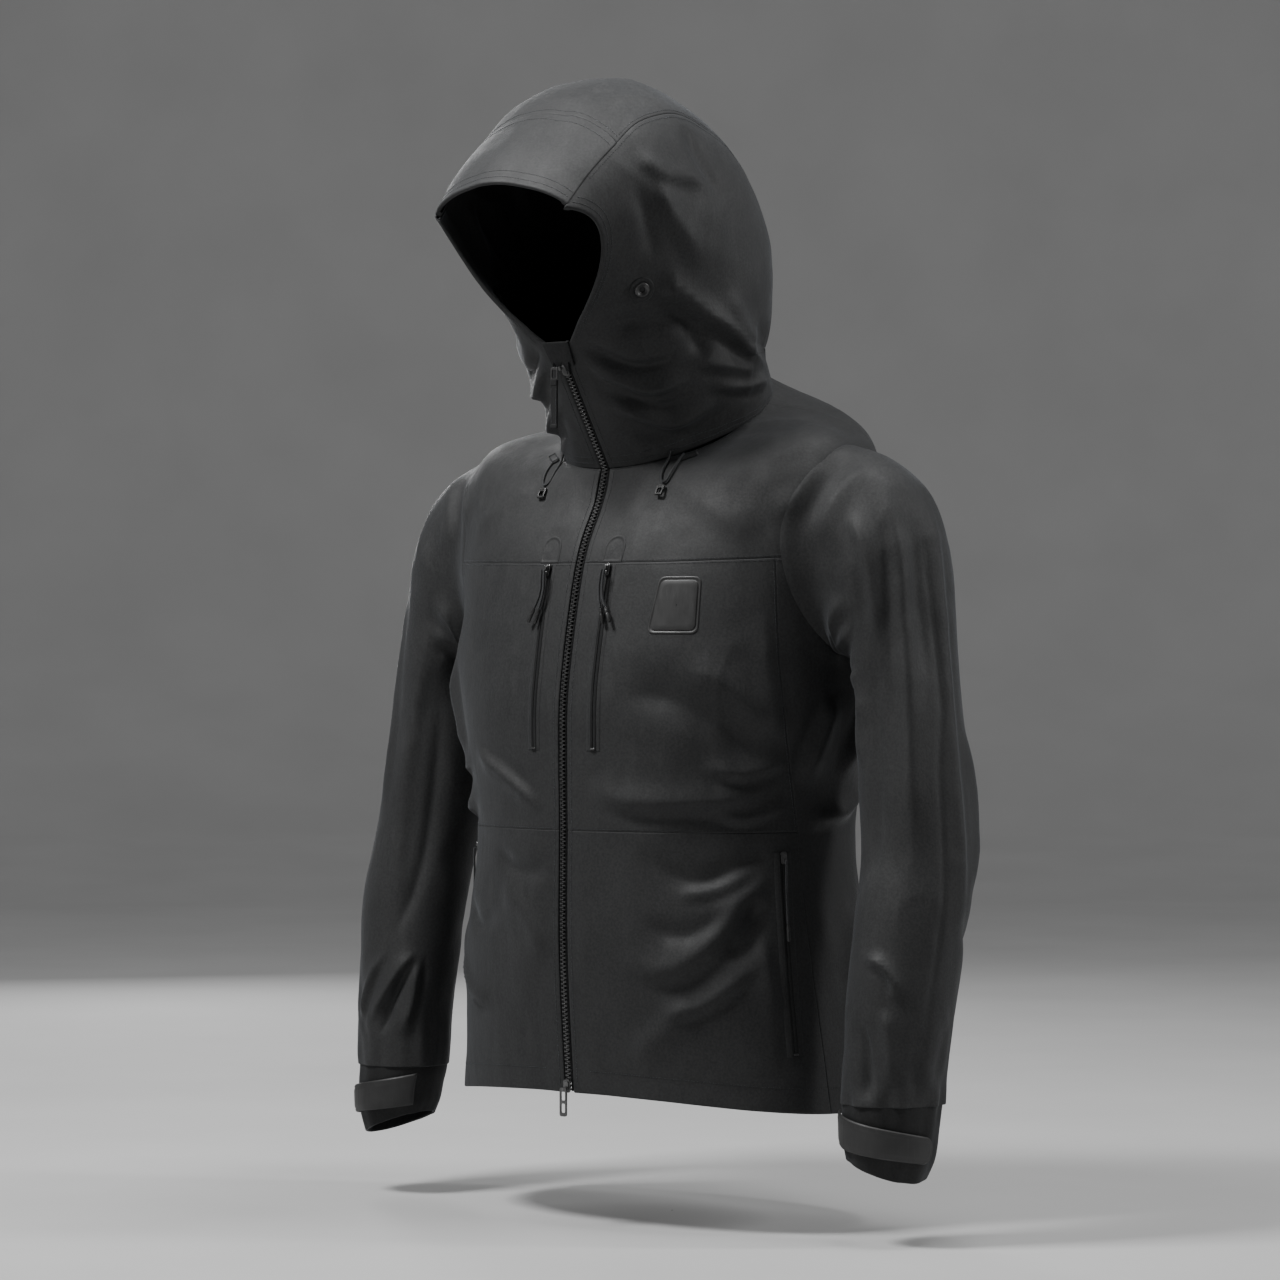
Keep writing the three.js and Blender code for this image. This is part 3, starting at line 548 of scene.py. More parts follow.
def returned(A, edge):
    """A turned grid, brought back."""
    return {"v0": A, "v1": A[::-1], "u0": A.swapaxes(0, 1), "u1": A.swapaxes(0, 1)[:, ::-1]}[edge]


def roll(P, N, hinge, edge, radius, depth):
    """Turns a grid's edge in, as cloth folds under at a seam or hem. hinge holds the unturned normals."""
    P, N, hinge = (turned(A, edge) for A in (P, N, hinge))
    out, up = unit(P[0] - P[1]), hinge[0]
    rows, normals = [], []
    for degrees in (35, 70, 110, 145, 180):
        a = math.radians(degrees)
        rows.append(P[0] + out * radius * math.sin(a) - up * radius * (1 - math.cos(a)))
        normals.append(N[0] * math.cos(a) + out * math.sin(a))
    rows.append(P[0] - out * depth - up * 2 * radius)
    normals.append(-N[0])
    P = np.concatenate([np.array(rows[::-1]), P])
    N = np.concatenate([np.array(normals[::-1]), N])
    hinge = np.concatenate([np.repeat(up[None], len(rows), 0), hinge])
    return [returned(A, edge) for A in (P, N, hinge)]


def grid_uvs(P):
    """Lengths along the grid in metres, so that the weave has one size everywhere."""
    across = np.linalg.norm(np.diff(P, axis=1), axis=-1).mean(0)
    up = np.linalg.norm(np.diff(P, axis=0), axis=-1).mean(1)
    u, v = np.concatenate([[0], np.cumsum(across)]), np.concatenate([[0], np.cumsum(up)])
    grid = np.stack(np.meshgrid(u, v), -1)
    return grid * 0.001


def spaced(length, step):
    """Shares from 0 to 1 along a length, closer together near both ends."""
    edge = 4.2
    inner = np.linspace(edge, length - edge, max(2, int(length / step)))
    ends = np.array([0, 1.2])
    return np.concatenate([ends, inner, length - ends[::-1]]) / length


def grid_mesh(name, P, N, rolls=(), own_normals=False, hole=None):
    shade = hinge = N
    for edge, radius, depth in rolls:
        P, shade, hinge = roll(P, shade, hinge, edge, radius, depth)
    rows, columns = P.shape[:2]
    test = np.cross(P[1:, :-1] - P[:-1, :-1], P[:-1, 1:] - P[:-1, :-1])
    flip = (test * shade[:-1, :-1]).sum() > 0
    normals = unit(shade.reshape(-1, 3)) if own_normals else None
    faces = grid_faces(rows, columns, flip)
    if hole is not None:
        faces = faces[~hole(P.reshape(-1, 3)[faces].mean(1))]
    return mesh_of(name, P.reshape(-1, 3), faces, grid_uvs(P).reshape(-1, 2), normals)


def panel(
    name, cloth, columns, rows, rolls, nodes, material=None,
    body="root", blend=None, extra=0.0, flat=None, hole=None,
):
    """One cut panel of cloth. columns and rows are grids of the surface's parameters."""
    material = material or SHELL
    P, n = cloth.at(columns, rows, extra=extra)
    mesh = grid_mesh(name, P, grid_normals(P, n), rolls, hole=hole)
    new_object(name, mesh, body, material, nodes, blend, flat)


# ---- Materials ----

class Nodes:
    """A material's node tree, with short calls to add to it."""

    def __init__(self, name):
        self.material = bpy.data.materials.new(name)
        self.material.use_nodes = True
        self.tree = self.material.node_tree
        self.shader = self.tree.nodes["Principled BSDF"]
        self.place = self.tree.nodes.new("ShaderNodeTexCoord")

    def add(self, kind, values=None, inputs=None, links=None):
        node = self.tree.nodes.new(kind)
        for key, value in (values or {}).items():
            setattr(node, key, value)
        for key, value in (inputs or {}).items():
            node.inputs[key].default_value = value
        for key, socket in (links or {}).items():
            self.tree.links.new(socket, node.inputs[key])
        return node

    def noise(self, scale, detail, roughness=0.55, stretch=(1, 1, 1)):
        source = {"Vector": self.place.outputs["Object"]}
        mapping = self.add("ShaderNodeMapping", inputs={"Scale": stretch}, links=source)
        return self.add(
            "ShaderNodeTexNoise",
            inputs={"Scale": scale, "Detail": detail, "Roughness": roughness},
            links={"Vector": mapping.outputs["Vector"]},
        ).outputs["Fac"]

    def bands(self, direction, scale):
        return self.add(
            "ShaderNodeTexWave",
            {"bands_direction": direction},
            {"Scale": scale, "Distortion": 0.6, "Detail": 1.0, "Detail Scale": 1.5},
            {"Vector": self.place.outputs["UV"]},
        ).outputs["Fac"]

    def ramp(self, fac, stops):
        node = self.add("ShaderNodeValToRGB", links={"Fac": fac})
        while len(node.color_ramp.elements) < len(stops):
            node.color_ramp.elements.new(0.5)
        for element, (at, colour) in zip(node.color_ramp.elements, stops):
            element.position = at
            element.color = (*colour, 1)
        return node.outputs["Color"]

    def ranged(self, fac, low, high, from_low=0.3, from_high=0.7):
        return self.add(
            "ShaderNodeMapRange",
            inputs={"From Min": from_low, "From Max": from_high, "To Min": low, "To Max": high},
            links={"Value": fac},
        ).outputs["Result"]

    def blended(self, a, b, fac, kind="MIX"):
        node = self.add("ShaderNodeMix", {"data_type": "RGBA", "blend_type": kind})
        for index, source in ((6, a), (7, b)):
            if isinstance(source, tuple):
                node.inputs[index].default_value = (*source, 1)
            else:
                self.tree.links.new(source, node.inputs[index])
        if isinstance(fac, float):
            node.inputs[0].default_value = fac
        else:
            self.tree.links.new(fac, node.inputs[0])
        return node.outputs[2]

    def bump(self, heights):
        """Chains bumps of (height, strength, distance in metres)."""
        last = None
        for height, strength, distance in heights:
            links = {"Height": height}
            if last is not None:
                links["Normal"] = last
            inputs = {"Strength": strength, "Distance": distance}
            last = self.add("ShaderNodeBump", inputs=inputs, links=links).outputs["Normal"]
        self.tree.links.new(last, self.shader.inputs["Normal"])

    def set(self, **values):
        for key, value in values.items():
            socket = self.shader.inputs[key.replace("_", " ")]
            if isinstance(value, bpy.types.NodeSocket):
                self.tree.links.new(value, socket)
            else:
                socket.default_value = value


def grey(value, warm=0.0):
    """A grey, or a slightly warm or cold one."""
    return (value * (1 + warm), value, value * (1 - warm))


def cloth_material(name, dark, light, weave=420, sheen=0.1, rough=(0.52, 0.68), grain=0.5):
    n = Nodes(name)
    warp, weft = n.bands("X", weave), n.bands("Y", weave)
    threads = n.blended(warp, weft, 0.5)
    broad = n.noise(9, 4)
    fine = n.noise(420, 2)
    lanes = n.noise(60, 4, 0.6, (1, 1, 0.35))
    base = n.ramp(broad, ((0.3, grey(dark, -0.03)), (0.7, grey(light, -0.02))))
    base = n.blended(base, n.ramp(fine, ((0.35, grey(dark * 0.7)), (0.65, grey(light * 1.35)))), 0.35)
    rubbed = n.ranged(lanes, 0.0, 0.22, 0.56, 0.8)
    base = n.blended(base, grey(light * 2.1), rubbed)
    base = n.blended(base, threads, 0.18, "SOFT_LIGHT")
    n.set(Base_Color=base, Roughness=n.ranged(lanes, *rough), Sheen_Weight=sheen, Sheen_Roughness=0.42)
    n.set(Specular_IOR_Level=0.24)
    n.shader.inputs["Sheen Tint"].default_value = (0.62, 0.66, 0.72, 1)
    n.bump([(lanes, 0.35, 0.0016), (fine, grain, 0.00025), (threads, 0.5, 0.00014)])
    return n.material


def hard_material(name, dark, light, rough, metallic=0.0, coat=0.0):
    n = Nodes(name)
    broad, fine = n.noise(70, 4), n.noise(900, 2)
    base = n.ramp(broad, ((0.3, grey(dark)), (0.7, grey(light))))
    scratches = n.noise(260, 3, 0.6, (1, 1, 0.08))
    base = n.blended(base, grey(light * 2.4), n.ranged(scratches, 0.0, 0.35, 0.6, 0.78))
    n.set(Base_Color=base, Metallic=metallic, Roughness=n.ranged(scratches, *rough), Coat_Weight=coat)
    n.bump([(fine, 0.2, 0.0001), (broad, 0.15, 0.0003)])
    return n.material


SHELL = cloth_material("shell_fabric", 0.020, 0.030)
BRIM = cloth_material("brim_fabric", 0.021, 0.032, rough=(0.5, 0.64))
CUFF = cloth_material("cuff_fabric", 0.009, 0.015, weave=300, rough=(0.6, 0.75))
TAPE = cloth_material("trim_tape", 0.010, 0.017, weave=250, rough=(0.62, 0.8), grain=0.8)
THREAD = cloth_material("thread", 0.016, 0.030, weave=700, sheen=0.6, rough=(0.6, 0.8))
CORD = cloth_material("cord", 0.010, 0.022, weave=600, sheen=0.5, rough=(0.5, 0.7), grain=0.9)
LAMINATE = cloth_material("pocket_zip", 0.009, 0.015, weave=420, sheen=0.1, rough=(0.36, 0.5), grain=0.2)
TAB = hard_material("tab_rubber", 0.016, 0.024, rough=(0.45, 0.6))
BADGE = hard_material("badge_rubber", 0.020, 0.030, rough=(0.4, 0.52))
TEETH = hard_material("zip_teeth", 0.030, 0.050, rough=(0.22, 0.34), coat=0.3)
METAL = hard_material("zip_metal", 0.10, 0.17, metallic=0.9, rough=(0.26, 0.42))
EYELET = hard_material("eyelet_metal", 0.05, 0.09, metallic=0.7, rough=(0.34, 0.5))
TIP = hard_material("cord_tip", 0.012, 0.022, rough=(0.28, 0.42), coat=0.2)


# ---- Where the cloth lies flat, and its folds ----

def side_seam(level):
    return np.where(level <= WAIST, mix(80, 74, level / WAIST), mix(74, 58, (level - WAIST) / (YOKE - WAIST)))


def back_seam(level):
    return np.where(level <= YOKE, 118, mix(118, 100, (level - YOKE) / (NECK - YOKE)))


def hood_side(angle, s):
    """Collar and hood side in one: s is 0 at the neck seam, 1 at the chin and 2 at the crown seam."""
    near = 0.16 * np.exp(-(((s - 1) / 0.3) ** 2))

    def plain(at):
        side, folded = np.sign(angle), np.abs(angle)
        low = collar(angle, np.minimum(at, 1.0))
        v = (NAPE_ANGLE - folded) / (NAPE_ANGLE - FOOT_ANGLE_AT_ZIP)
        u = 1 - np.maximum(at - 1, 0) * (1 - HOOD_SEAM)
        high = hood(side * u, v)
        return np.where((at <= 1)[:, None], low, high)

    return (plain(s - near) + 2 * plain(s) + plain(s + near)) / 4


ZIP_SLACK = 6.8


def zip_edge(level):
    return angle_at_x(ZIP_SLACK, level)


heights = np.linspace(CHEST_ZIP_BOTTOM - 6, CHEST_ZIP_TOP + 22, 9)
for _, side in SIDES:
    calm(torso, list(zip(*front_params(np.full_like(heights, side * CHEST_ZIP_X), heights))), 15, 0.12)
    ends = np.array([HAND_ZIP_BOTTOM, HAND_ZIP_TOP])
    low, high = level_at_height(np.full(2, float(HAND_ZIP_ANGLE)), ends)
    calm(torso, [(side * HAND_ZIP_ANGLE, level) for level in (low, (low + high) / 2, high)], 17, 0.15)
    calm(hood, [(side * 0.86, 0.74), (side * 0.86, 0.76), (side * 0.86, 0.78)], 20, 0.1)
badge_x, badge_z = np.array([92.0, 116.0, 140.0]), np.full(3, 544.0)
calm(torso, list(zip(*front_params(badge_x, badge_z))), 36, 0.05)

# Folds as (height, width, lean, points in the surface's parameters). A negative height is a hollow.
BOTH_FRONTS_FOLDS = (
    (3, 7, 0.6, ((44, 2.2), (56, 2.14), (70, 2.3))),
    (3.5, 9, 0.5, ((40, 2.85), (54, 2.75), (70, 2.95))),
    (3.5, 8, 0.6, ((26, 0.62), (40, 0.72), (58, 1.05))),
    (-3.5, 9, 0, ((22, 1.3), (36, 1.22), (50, 1.42))),
    (3, 12, 0.3, ((64, 3.2), (60, 3.9), (54, 4.6))),
    (3, 10, 0.4, ((70, 0.5), (62, 0.9), (58, 1.3))),
)
NEAR_FRONT_FOLDS = (
    (5, 13, 0.5, ((7, 2.55), (19, 2.35), (35, 2.35), (53, 2.4), (66, 2.65))),
    (-6, 19, 0, ((12, 3.85), (28, 3.8), (48, 3.3), (64, 2.8))),
    (3.5, 15, 0.3, ((30, 4.15), (47, 3.9), (64, 3.2))),
    (-4.5, 11, 0, ((21, 1.85), (38, 1.6), (53, 1.7), (69, 1.9))),
    (3.5, 8, 0.5, ((33, 1.5), (46, 1.55), (61, 1.75))),
    (5.5, 14, 0.5, ((13, 1.05), (28, 0.95), (42, 1.15), (53, 1.45), (65, 1.7))),
    (-5, 12, 0, ((59, 1.5), (56, 1.25), (47, 1.0))),
    (3, 16, 0.3, ((36, 0.75), (26, 0.5), (16, 0.25))),
)
SIDE_AND_BACK_FOLDS = (
    (2.5, 14, 0.2, ((54, 5.35), (64, 5.5), (77, 5.75))),
    (2, 16, 0.2, ((21, 6.3), (30, 5.7), (48, 5.15))),
    (6.5, 12, 0.5, ((84, 3.9), (80, 3.3), (74, 2.5))),
    (6, 13, 0.5, ((104, 4.2), (98, 3.5), (90, 2.6))),
    (5, 10, 0.4, ((76, 2.1), (94, 2.2), (110, 2.45))),
    (5, 18, 0.3, ((96, 1.6), (97, 0.9), (99, 0.1))),
    (6, 24, 0.2, ((140, 3.6), (146, 2.6), (150, 1.2))),
    (5, 22, 0.2, ((165, 5.2), (160, 4.2), (158, 3.2))),
    (6, 16, 0.4, ((130, 5.4), (138, 4.9), (150, 4.5))),
    (5, 12, 0.4, ((128, 2.2), (150, 2.4), (172, 2.3))),
)
FAR_FRONT_FOLDS = (
    (4.5, 9, 0.4, ((35, 3.05), (19, 2.65), (6, 2.15))),
    (-3.5, 9, 0, ((28, 1.8), (15, 1.65), (2, 1.65))),
    (3, 14, 0.3, ((23, 1.55), (10, 1.3), (3, 0.95))),
    (6, 12, 0.4, ((64, 4.4), (56, 3.6), (50, 2.8))),
    (5, 11, 0.4, ((40, 2.4), (58, 2.2), (76, 2.3))),
)
HOOD_FOLDS = (
    (7.5, 10, 0.6, ((29, 1.28), (43, 1.22), (66, 1.12), (92, 0.98), (119, 0.52))),
    (-5, 11, 0, ((43, 1.14), (63, 1.04), (72, 0.84))),
    (3, 9, 0.4, ((29, 1.86), (40, 1.68), (62, 1.62))),
    (-4, 9, 0, ((28, 1.72), (31, 1.52), (38, 1.32))),
    (4, 11, 0.4, ((35, 1.68), (42, 1.48), (60, 1.28))),
    (-4.5, 9, 0, ((24, 1.08), (37, 1.08), (55, 1.04))),
    (-5, 7, 0, ((8, 1.02), (23, 0.9), (39, 0.8), (60, 0.88))),
    (5, 6.5, 0.6, ((11, 0.88), (25, 0.72), (40, 0.6), (60, 0.66))),
    (-4, 6.5, 0, ((10, 0.68), (29, 0.54), (41, 0.44), (60, 0.48))),
    (4.5, 6.5, 0.6, ((12, 0.54), (31, 0.38), (45, 0.26), (67, 0.34))),
    (-3.5, 8, 0, ((13, 0.38), (35, 0.2), (54, 0.14), (83, 0.36))),
    (3, 10, 0.3, ((72, 1.22), (86, 1.14), (104, 1.0))),
    (-4, 10, 0, ((52, 1.92), (56, 1.72), (66, 1.58))),
    (4, 9, 0.4, ((62, 0.86), (84, 0.72), (106, 0.6))),
    (3.5, 8, 0.4, ((66, 0.56), (88, 0.44), (112, 0.36))),
)
SHOULDER_FOLDS = (
    (3.5, 15, 0, ((-125, 0.1), (-90, 0.1), (-55, 0.1), (-15, 0.1), (20, 0.1))),
    (3.5, 15, 0.3, ((-14, 2.3), (-46, 1.9), (-72, 1.5), (-92, 1.2))),
    (5, 12, -0.4, ((60, 1.4), (86, 1.3), (112, 1.2))),
    (7, 12, 0.5, ((-170, 1.0), (-135, 1.8), (-104, 2.9))),
    (6, 12, 0.5, ((-178, 1.5), (-140, 2.6), (-112, 3.9))),
    (7, 14, -0.5, ((160, 1.2), (128, 2.2), (96, 3.4))),
)
NEAR_SLEEVE_FOLDS = (
    (5, 24, 0.2, ((-146, 2.0), (-142, 2.6), (-130, 4.0), (-118, 5.6))),
    (5, 10, 0.5, ((-30, 2.4), (-44, 4.5), (-52, 6.5), (-60, 8.6))),
    (4, 9, -0.4, ((8, 3.0), (2, 5.5), (-6, 7.5), (4, 9.4))),
    (-3.5, 12, 0, ((-20, 2.8), (-26, 4.6), (-32, 6.2))),
    (3.5, 9, 0.4, ((-60, 2.2), (-72, 3.6), (-80, 5.2))),
    (4, 7, 0.5, ((-124, 4.6), (-118, 5.25), (-109, 6.3))),
    (3, 7, 0.5, ((-118, 5.5), (-122, 6.25), (-125, 6.95))),
    (-4, 14, 0, ((-85, 4.7), (-88, 6.45), (-100, 7.85), (-108, 8.6))),
    (3, 20, 0.2, ((-37, 4.9), (-53, 6.6), (-70, 8.15))),
    (5.5, 5.5, 0.6, ((-104, 9.55), (-81, 9.65), (-66, 9.85), (-61, 10.15))),
    (-5, 7, 0, ((-100, 10.4), (-87, 11.1), (-82, 11.95))),
    (4, 9, 0.4, ((-73, 10.2), (-63, 10.75), (-54, 11.6))),
    (-1.6, 3, 0, ((-12, 1.2), (-12, 5.8), (-27, 7.4), (-24, 9.4), (-24, 11.8))),
    (4, 14, 0.3, ((20, 6.6), (40, 7.6), (34, 8.8))),
    (-3, 12, 0, ((10, 8.9), (40, 9.4), (70, 9.2))),
    (5, 12, 0.4, ((70, 7.0), (100, 7.4), (130, 7.2))),
    (5, 11, 0.4, ((66, 8.2), (100, 8.5), (136, 8.6))),
)
FAR_SLEEVE_FOLDS = (
    (4, 22, 0.2, ((-146, 2.0), (-142, 2.6), (-130, 4.0), (-118, 5.6))),
    (3, 10, 0.3, ((-114, 3.05), (-96, 6.5), (-101, 8.05), (-106, 9.35))),
    (-3, 8, 0, ((-125, 5.15), (-132, 7.45), (-130, 8.85), (-108, 9.75))),
    (5, 7, 0.5, ((-138, 9.8), (-115, 10.3), (-82, 11.1))),
    (4.5, 6, 0.5, ((-143, 9.8), (-139, 10.65), (-131, 11.3))),
    (4, 6, 0.5, ((-101, 9.8), (-78, 10.45), (-60, 11.1))),
    (-4, 5, 0, ((-131, 9.95), (-114, 10.75), (-99, 11.35))),
    (4, 12, 0.3, ((-30, 4.0), (-44, 6.0), (-60, 8.0))),
    (5, 12, 0.4, ((60, 7.0), (96, 7.4), (130, 7.2))),
)


def lay(surface, folds, side, strength=1.4, mirrored=True):
    """Lays a table of folds. A sleeve's surface mirrors itself, so only its leans change sides."""
    turn = side if mirrored else 1
    for height, width, lean, points in folds:
        fold(surface, [(turn * a, b) for a, b in points], strength * height, width, lean * side)


lay(torso, BOTH_FRONTS_FOLDS + NEAR_FRONT_FOLDS + SIDE_AND_BACK_FOLDS, 1)
lay(torso, SIDE_AND_BACK_FOLDS + BOTH_FRONTS_FOLDS + FAR_FRONT_FOLDS, -1)
for _, side in SIDES:
    lay(hood_side, HOOD_FOLDS, side)
    own_folds = NEAR_SLEEVE_FOLDS if side > 0 else FAR_SLEEVE_FOLDS
    lay(sleeve(side), SHOULDER_FOLDS + own_folds, side, 1.25, mirrored=False)


# ---- Torso ----

def armhole_faces(centres):
    """Which faces lie in the opening that the sleeve covers."""
    inside = (centres[:, 1] / 68) ** 2 + ((centres[:, 2] - ARMHOLE_Z) / 86) ** 2 < 1
    return inside & (np.abs(centres[:, 0]) > 150)


SEAM = (1.1, 5.0)
torso_cloth = Cloth(torso, (90, 3, (1, 0, 0)))
MEAN_RADIUS, RING_INTERVAL, SEAM_GAP = 180, 112, 1.0


def torso_panel(name, node, side, edges, levels, width, flat, rolls):
    """A panel between two seams. edges are functions of the level giving angles in degrees."""
    low, high = levels
    gap = SEAM_GAP / RING_INTERVAL
    rows = mix(low + gap, high - gap, spaced((high - low) * RING_INTERVAL, 4.0))
    across = spaced(width, 4.0)
    inset = math.degrees(SEAM_GAP / MEAN_RADIUS)
    level, share = np.meshgrid(rows, across, indexing="ij")
    angle = mix(edges[0](level) + (0 if edges[0] is zip_edge else inset), edges[1](level) - inset, share)
    panel(name, torso_cloth, side * angle, level, rolls, (node,), flat=flat, hole=armhole_faces)


ALL_SEAMS = tuple((edge, *SEAM) for edge in ("v0", "v1", "u0", "u1"))
FRONT_SEAMS = (("u0", 1.3, 9.0), ("u1", *SEAM), ("v1", *SEAM), ("v0", *SEAM))
HEM = ("v0", 1.6, 24.0)
ZIP_TO_BACK, ZIP_TO_SIDE = (zip_edge, back_seam), (zip_edge, side_seam)
PANELS = (
    ("yoke", "yoke", ZIP_TO_BACK, (YOKE, NECK), 320, (0.27, 0.22), FRONT_SEAMS),
    ("chest", "chest_panel", ZIP_TO_SIDE, (WAIST, YOKE), 245, (0.25, 0.29), FRONT_SEAMS),
    ("lower", "lower_front", ZIP_TO_SIDE, (0, WAIST), 250, (0.26, 0.27), (*FRONT_SEAMS[:3], HEM)),
    ("side", "side_panel", (side_seam, back_seam), (0, YOKE), 140, (0.16, 0.55), (*ALL_SEAMS[1:], HEM)),
)
for name, side in SIDES:
    for piece, node, *rest in PANELS:
        torso_panel(f"cloth_{piece}_{name}", f"{node}_{name}", side, *rest)
back_edges = (back_seam, lambda level: 360 - back_seam(level))
torso_panel("cloth_back", "back_panel", 1, back_edges, (0, NECK), 400, (0.44, 0.75), (*ALL_SEAMS[1:], HEM))


# ---- Collar and hood ----

FACE_CURVE = 8.2  # degrees by which the face opening curves back at the cheeks
BRIM_LIFT = 0.8
HOOD_BODIES = ("root", "hood", (0, 0, 0.79), (0, 0, 0.87))
for name, side in SIDES:
    cloth = Cloth(hood_side, (side * 60, 0.5, (side, 0, 0)))
    across, s = np.meshgrid(spaced(330, 3.4), mix(0.012, 1.995, spaced(270, 3.4)))
    angle = mix(3.4 + FACE_CURVE * np.sin(math.pi * np.clip(s - 1, 0, 1)), NAPE_ANGLE - 0.4, across)
    rolls = (("u0", 2.4, 12.0), ("v0", *SEAM), ("v1", *SEAM), ("u1", *SEAM))
    nodes = (f"hood_side_{name}",)
    hood_piece = f"cloth_hood_side_{name}"
    panel(hood_piece, cloth, side * angle, s, rolls, nodes, blend=HOOD_BODIES, flat=(0.34, 0.31))

back_collar = Cloth(lambda a, t: collar(np.where(a > 180, a - 360, a), t), (181, 0.5, (0, 1, 0)))
around = mix(NAPE_ANGLE + 0.4, 360 - NAPE_ANGLE - 0.4, spaced(170, 4))
angle, t = np.meshgrid(around, np.array([0.02, 0.3, 0.6, 0.98]))
panel("cloth_collar_back", back_collar, angle, t, (), ("collar",), flat=(0.17, 0.025))

crown = Cloth(hood, (0.01, 0.5, (0, 0, 1)), steps=(0.002, 0.003))
CROWN_HALF = HOOD_SEAM - 0.004
u, v = np.meshgrid(
    mix(-CROWN_HALF, CROWN_HALF, spaced(190, 3.6)),
    mix(0.003, BRIM_START - 0.003, spaced(430, 3.6)),
)
panel("cloth_hood_centre", crown, u, v, ALL_SEAMS, ("hood_centre",), blend=HOOD_BODIES, flat=(0.24, 0.46))
u, v = np.meshgrid(
    mix(-CROWN_HALF, CROWN_HALF, spaced(240, 3.2)),
    mix(BRIM_START + 0.001, 1.0, spaced(95, 3.0)),
)
panel(
    "cloth_hood_brim", crown, u, v, (("v0", 0.9, 2.0), ("v1", 2.2, 12.0), ("u0", *SEAM), ("u1", *SEAM)),
    ("hood_brim",), BRIM, body="hood", extra=BRIM_LIFT, flat=(0.27, 0.10),
)


# ---- Sleeves ----

def closed_normals(P, outward):
    """Normals of a tube's grid whose first and last columns are the same line."""
    wide = np.concatenate([P[:, -3:-1], P, P[:, 1:3]], axis=1)
    n = unit(np.cross(np.gradient(wide, axis=1), np.gradient(wide, axis=0)))[:, 2:-2]
    return n * np.sign((n * outward).sum())


def sleeve_extra(side, angle, position, low, high):
    """Pleats that run down the sleeve and deepen towards the cuff."""
    turn = np.radians(angle.ravel())
    p = sleeve(side)(angle.ravel(), position.ravel())
    wave = np.cos(9 * turn + 3.0 * noise(p / 60, 31)) + 0.5 * np.cos(14 * turn + 4.0 * noise(p / 45, 33))
    grow = smooth(position.ravel(), low, high) * smooth(noise(p / 55, 32), -0.7, 0.2)
    return (1.7 * wave * grow).reshape(angle.shape)


CUFF_SINK, ARM_ROWS, ELBOW_ROWS = -1.5, 65, 91
for name, side in SIDES:
    cloth = Cloth(sleeve(side), (0, 8, (side, 0, 0)), steps=(0.5, 0.01))
    around = np.linspace(-210, 150, 117)
    rows = np.concatenate([
        np.linspace(0.0, ARM_SPLIT, ARM_ROWS + 1)[:-1],
        np.linspace(ARM_SPLIT, ELBOW_SPLIT, ELBOW_ROWS + 1)[:-1],
        np.linspace(ELBOW_SPLIT, CUFF_TOP - 0.03, 42),
    ])
    angle, position = np.meshgrid(around, rows)
    P, n = cloth.at(angle, position, extra=sleeve_extra(side, angle, position, 9.6, 12.2))
    P[:, -1] = P[:, 0]
    N = closed_normals(P, n)
    split = [0, ARM_ROWS, ARM_ROWS + ELBOW_ROWS, len(rows) - 1]
    arm, forearm = f"sleeve_{name}", f"forearm_{name}"
    shoulder = ("root", arm, (side * 0.200, 0, 0), (side * 0.300, 0, 0))
    elbow = (arm, forearm, (0, 0, 0.385), (0, 0, 0.255))
    parts = (
        (f"cloth_arm_{name}", (("v0", 1.2, 5.0),), shoulder, (f"upper_sleeve_{name}",), (0.46, 0.19)),
        (f"cloth_elbow_{name}", (), elbow, (), (0.36, 0.36)),
        (f"cloth_forearm_{name}", (("v1", 1.2, 5.0),), None, (f"lower_sleeve_{name}",), (0.34, 0.13)),
    )
    for (part, rolls, blend, nodes, flat), first, last in zip(parts, split, split[1:]):
        mesh = grid_mesh(part, P[first : last + 1], N[first : last + 1], rolls, own_normals=True)
        new_object(part, mesh, forearm, SHELL, nodes, blend, flat)
    angle, position = np.meshgrid(around, np.linspace(CUFF_TOP, CUFF_END, 30))
    P, n = cloth.at(angle, position, lift=CUFF_SINK, extra=0.35 * sleeve_extra(side, angle, position, 11, 12))
    P[:, -1] = P[:, 0]
    rolls = (("v0", 1.0, 4.0), ("v1", 1.5, 18.0))
    mesh = grid_mesh(f"cloth_cuff_{name}", P, closed_normals(P, n), rolls, own_normals=True)
    new_object(f"cloth_cuff_{name}", mesh, forearm, CUFF, (f"cuff_{name}",), flat=(0.27, 0.09))


# ---- Parts made of plates, rings and strips, in a local frame of (origin, across, along, out) ----

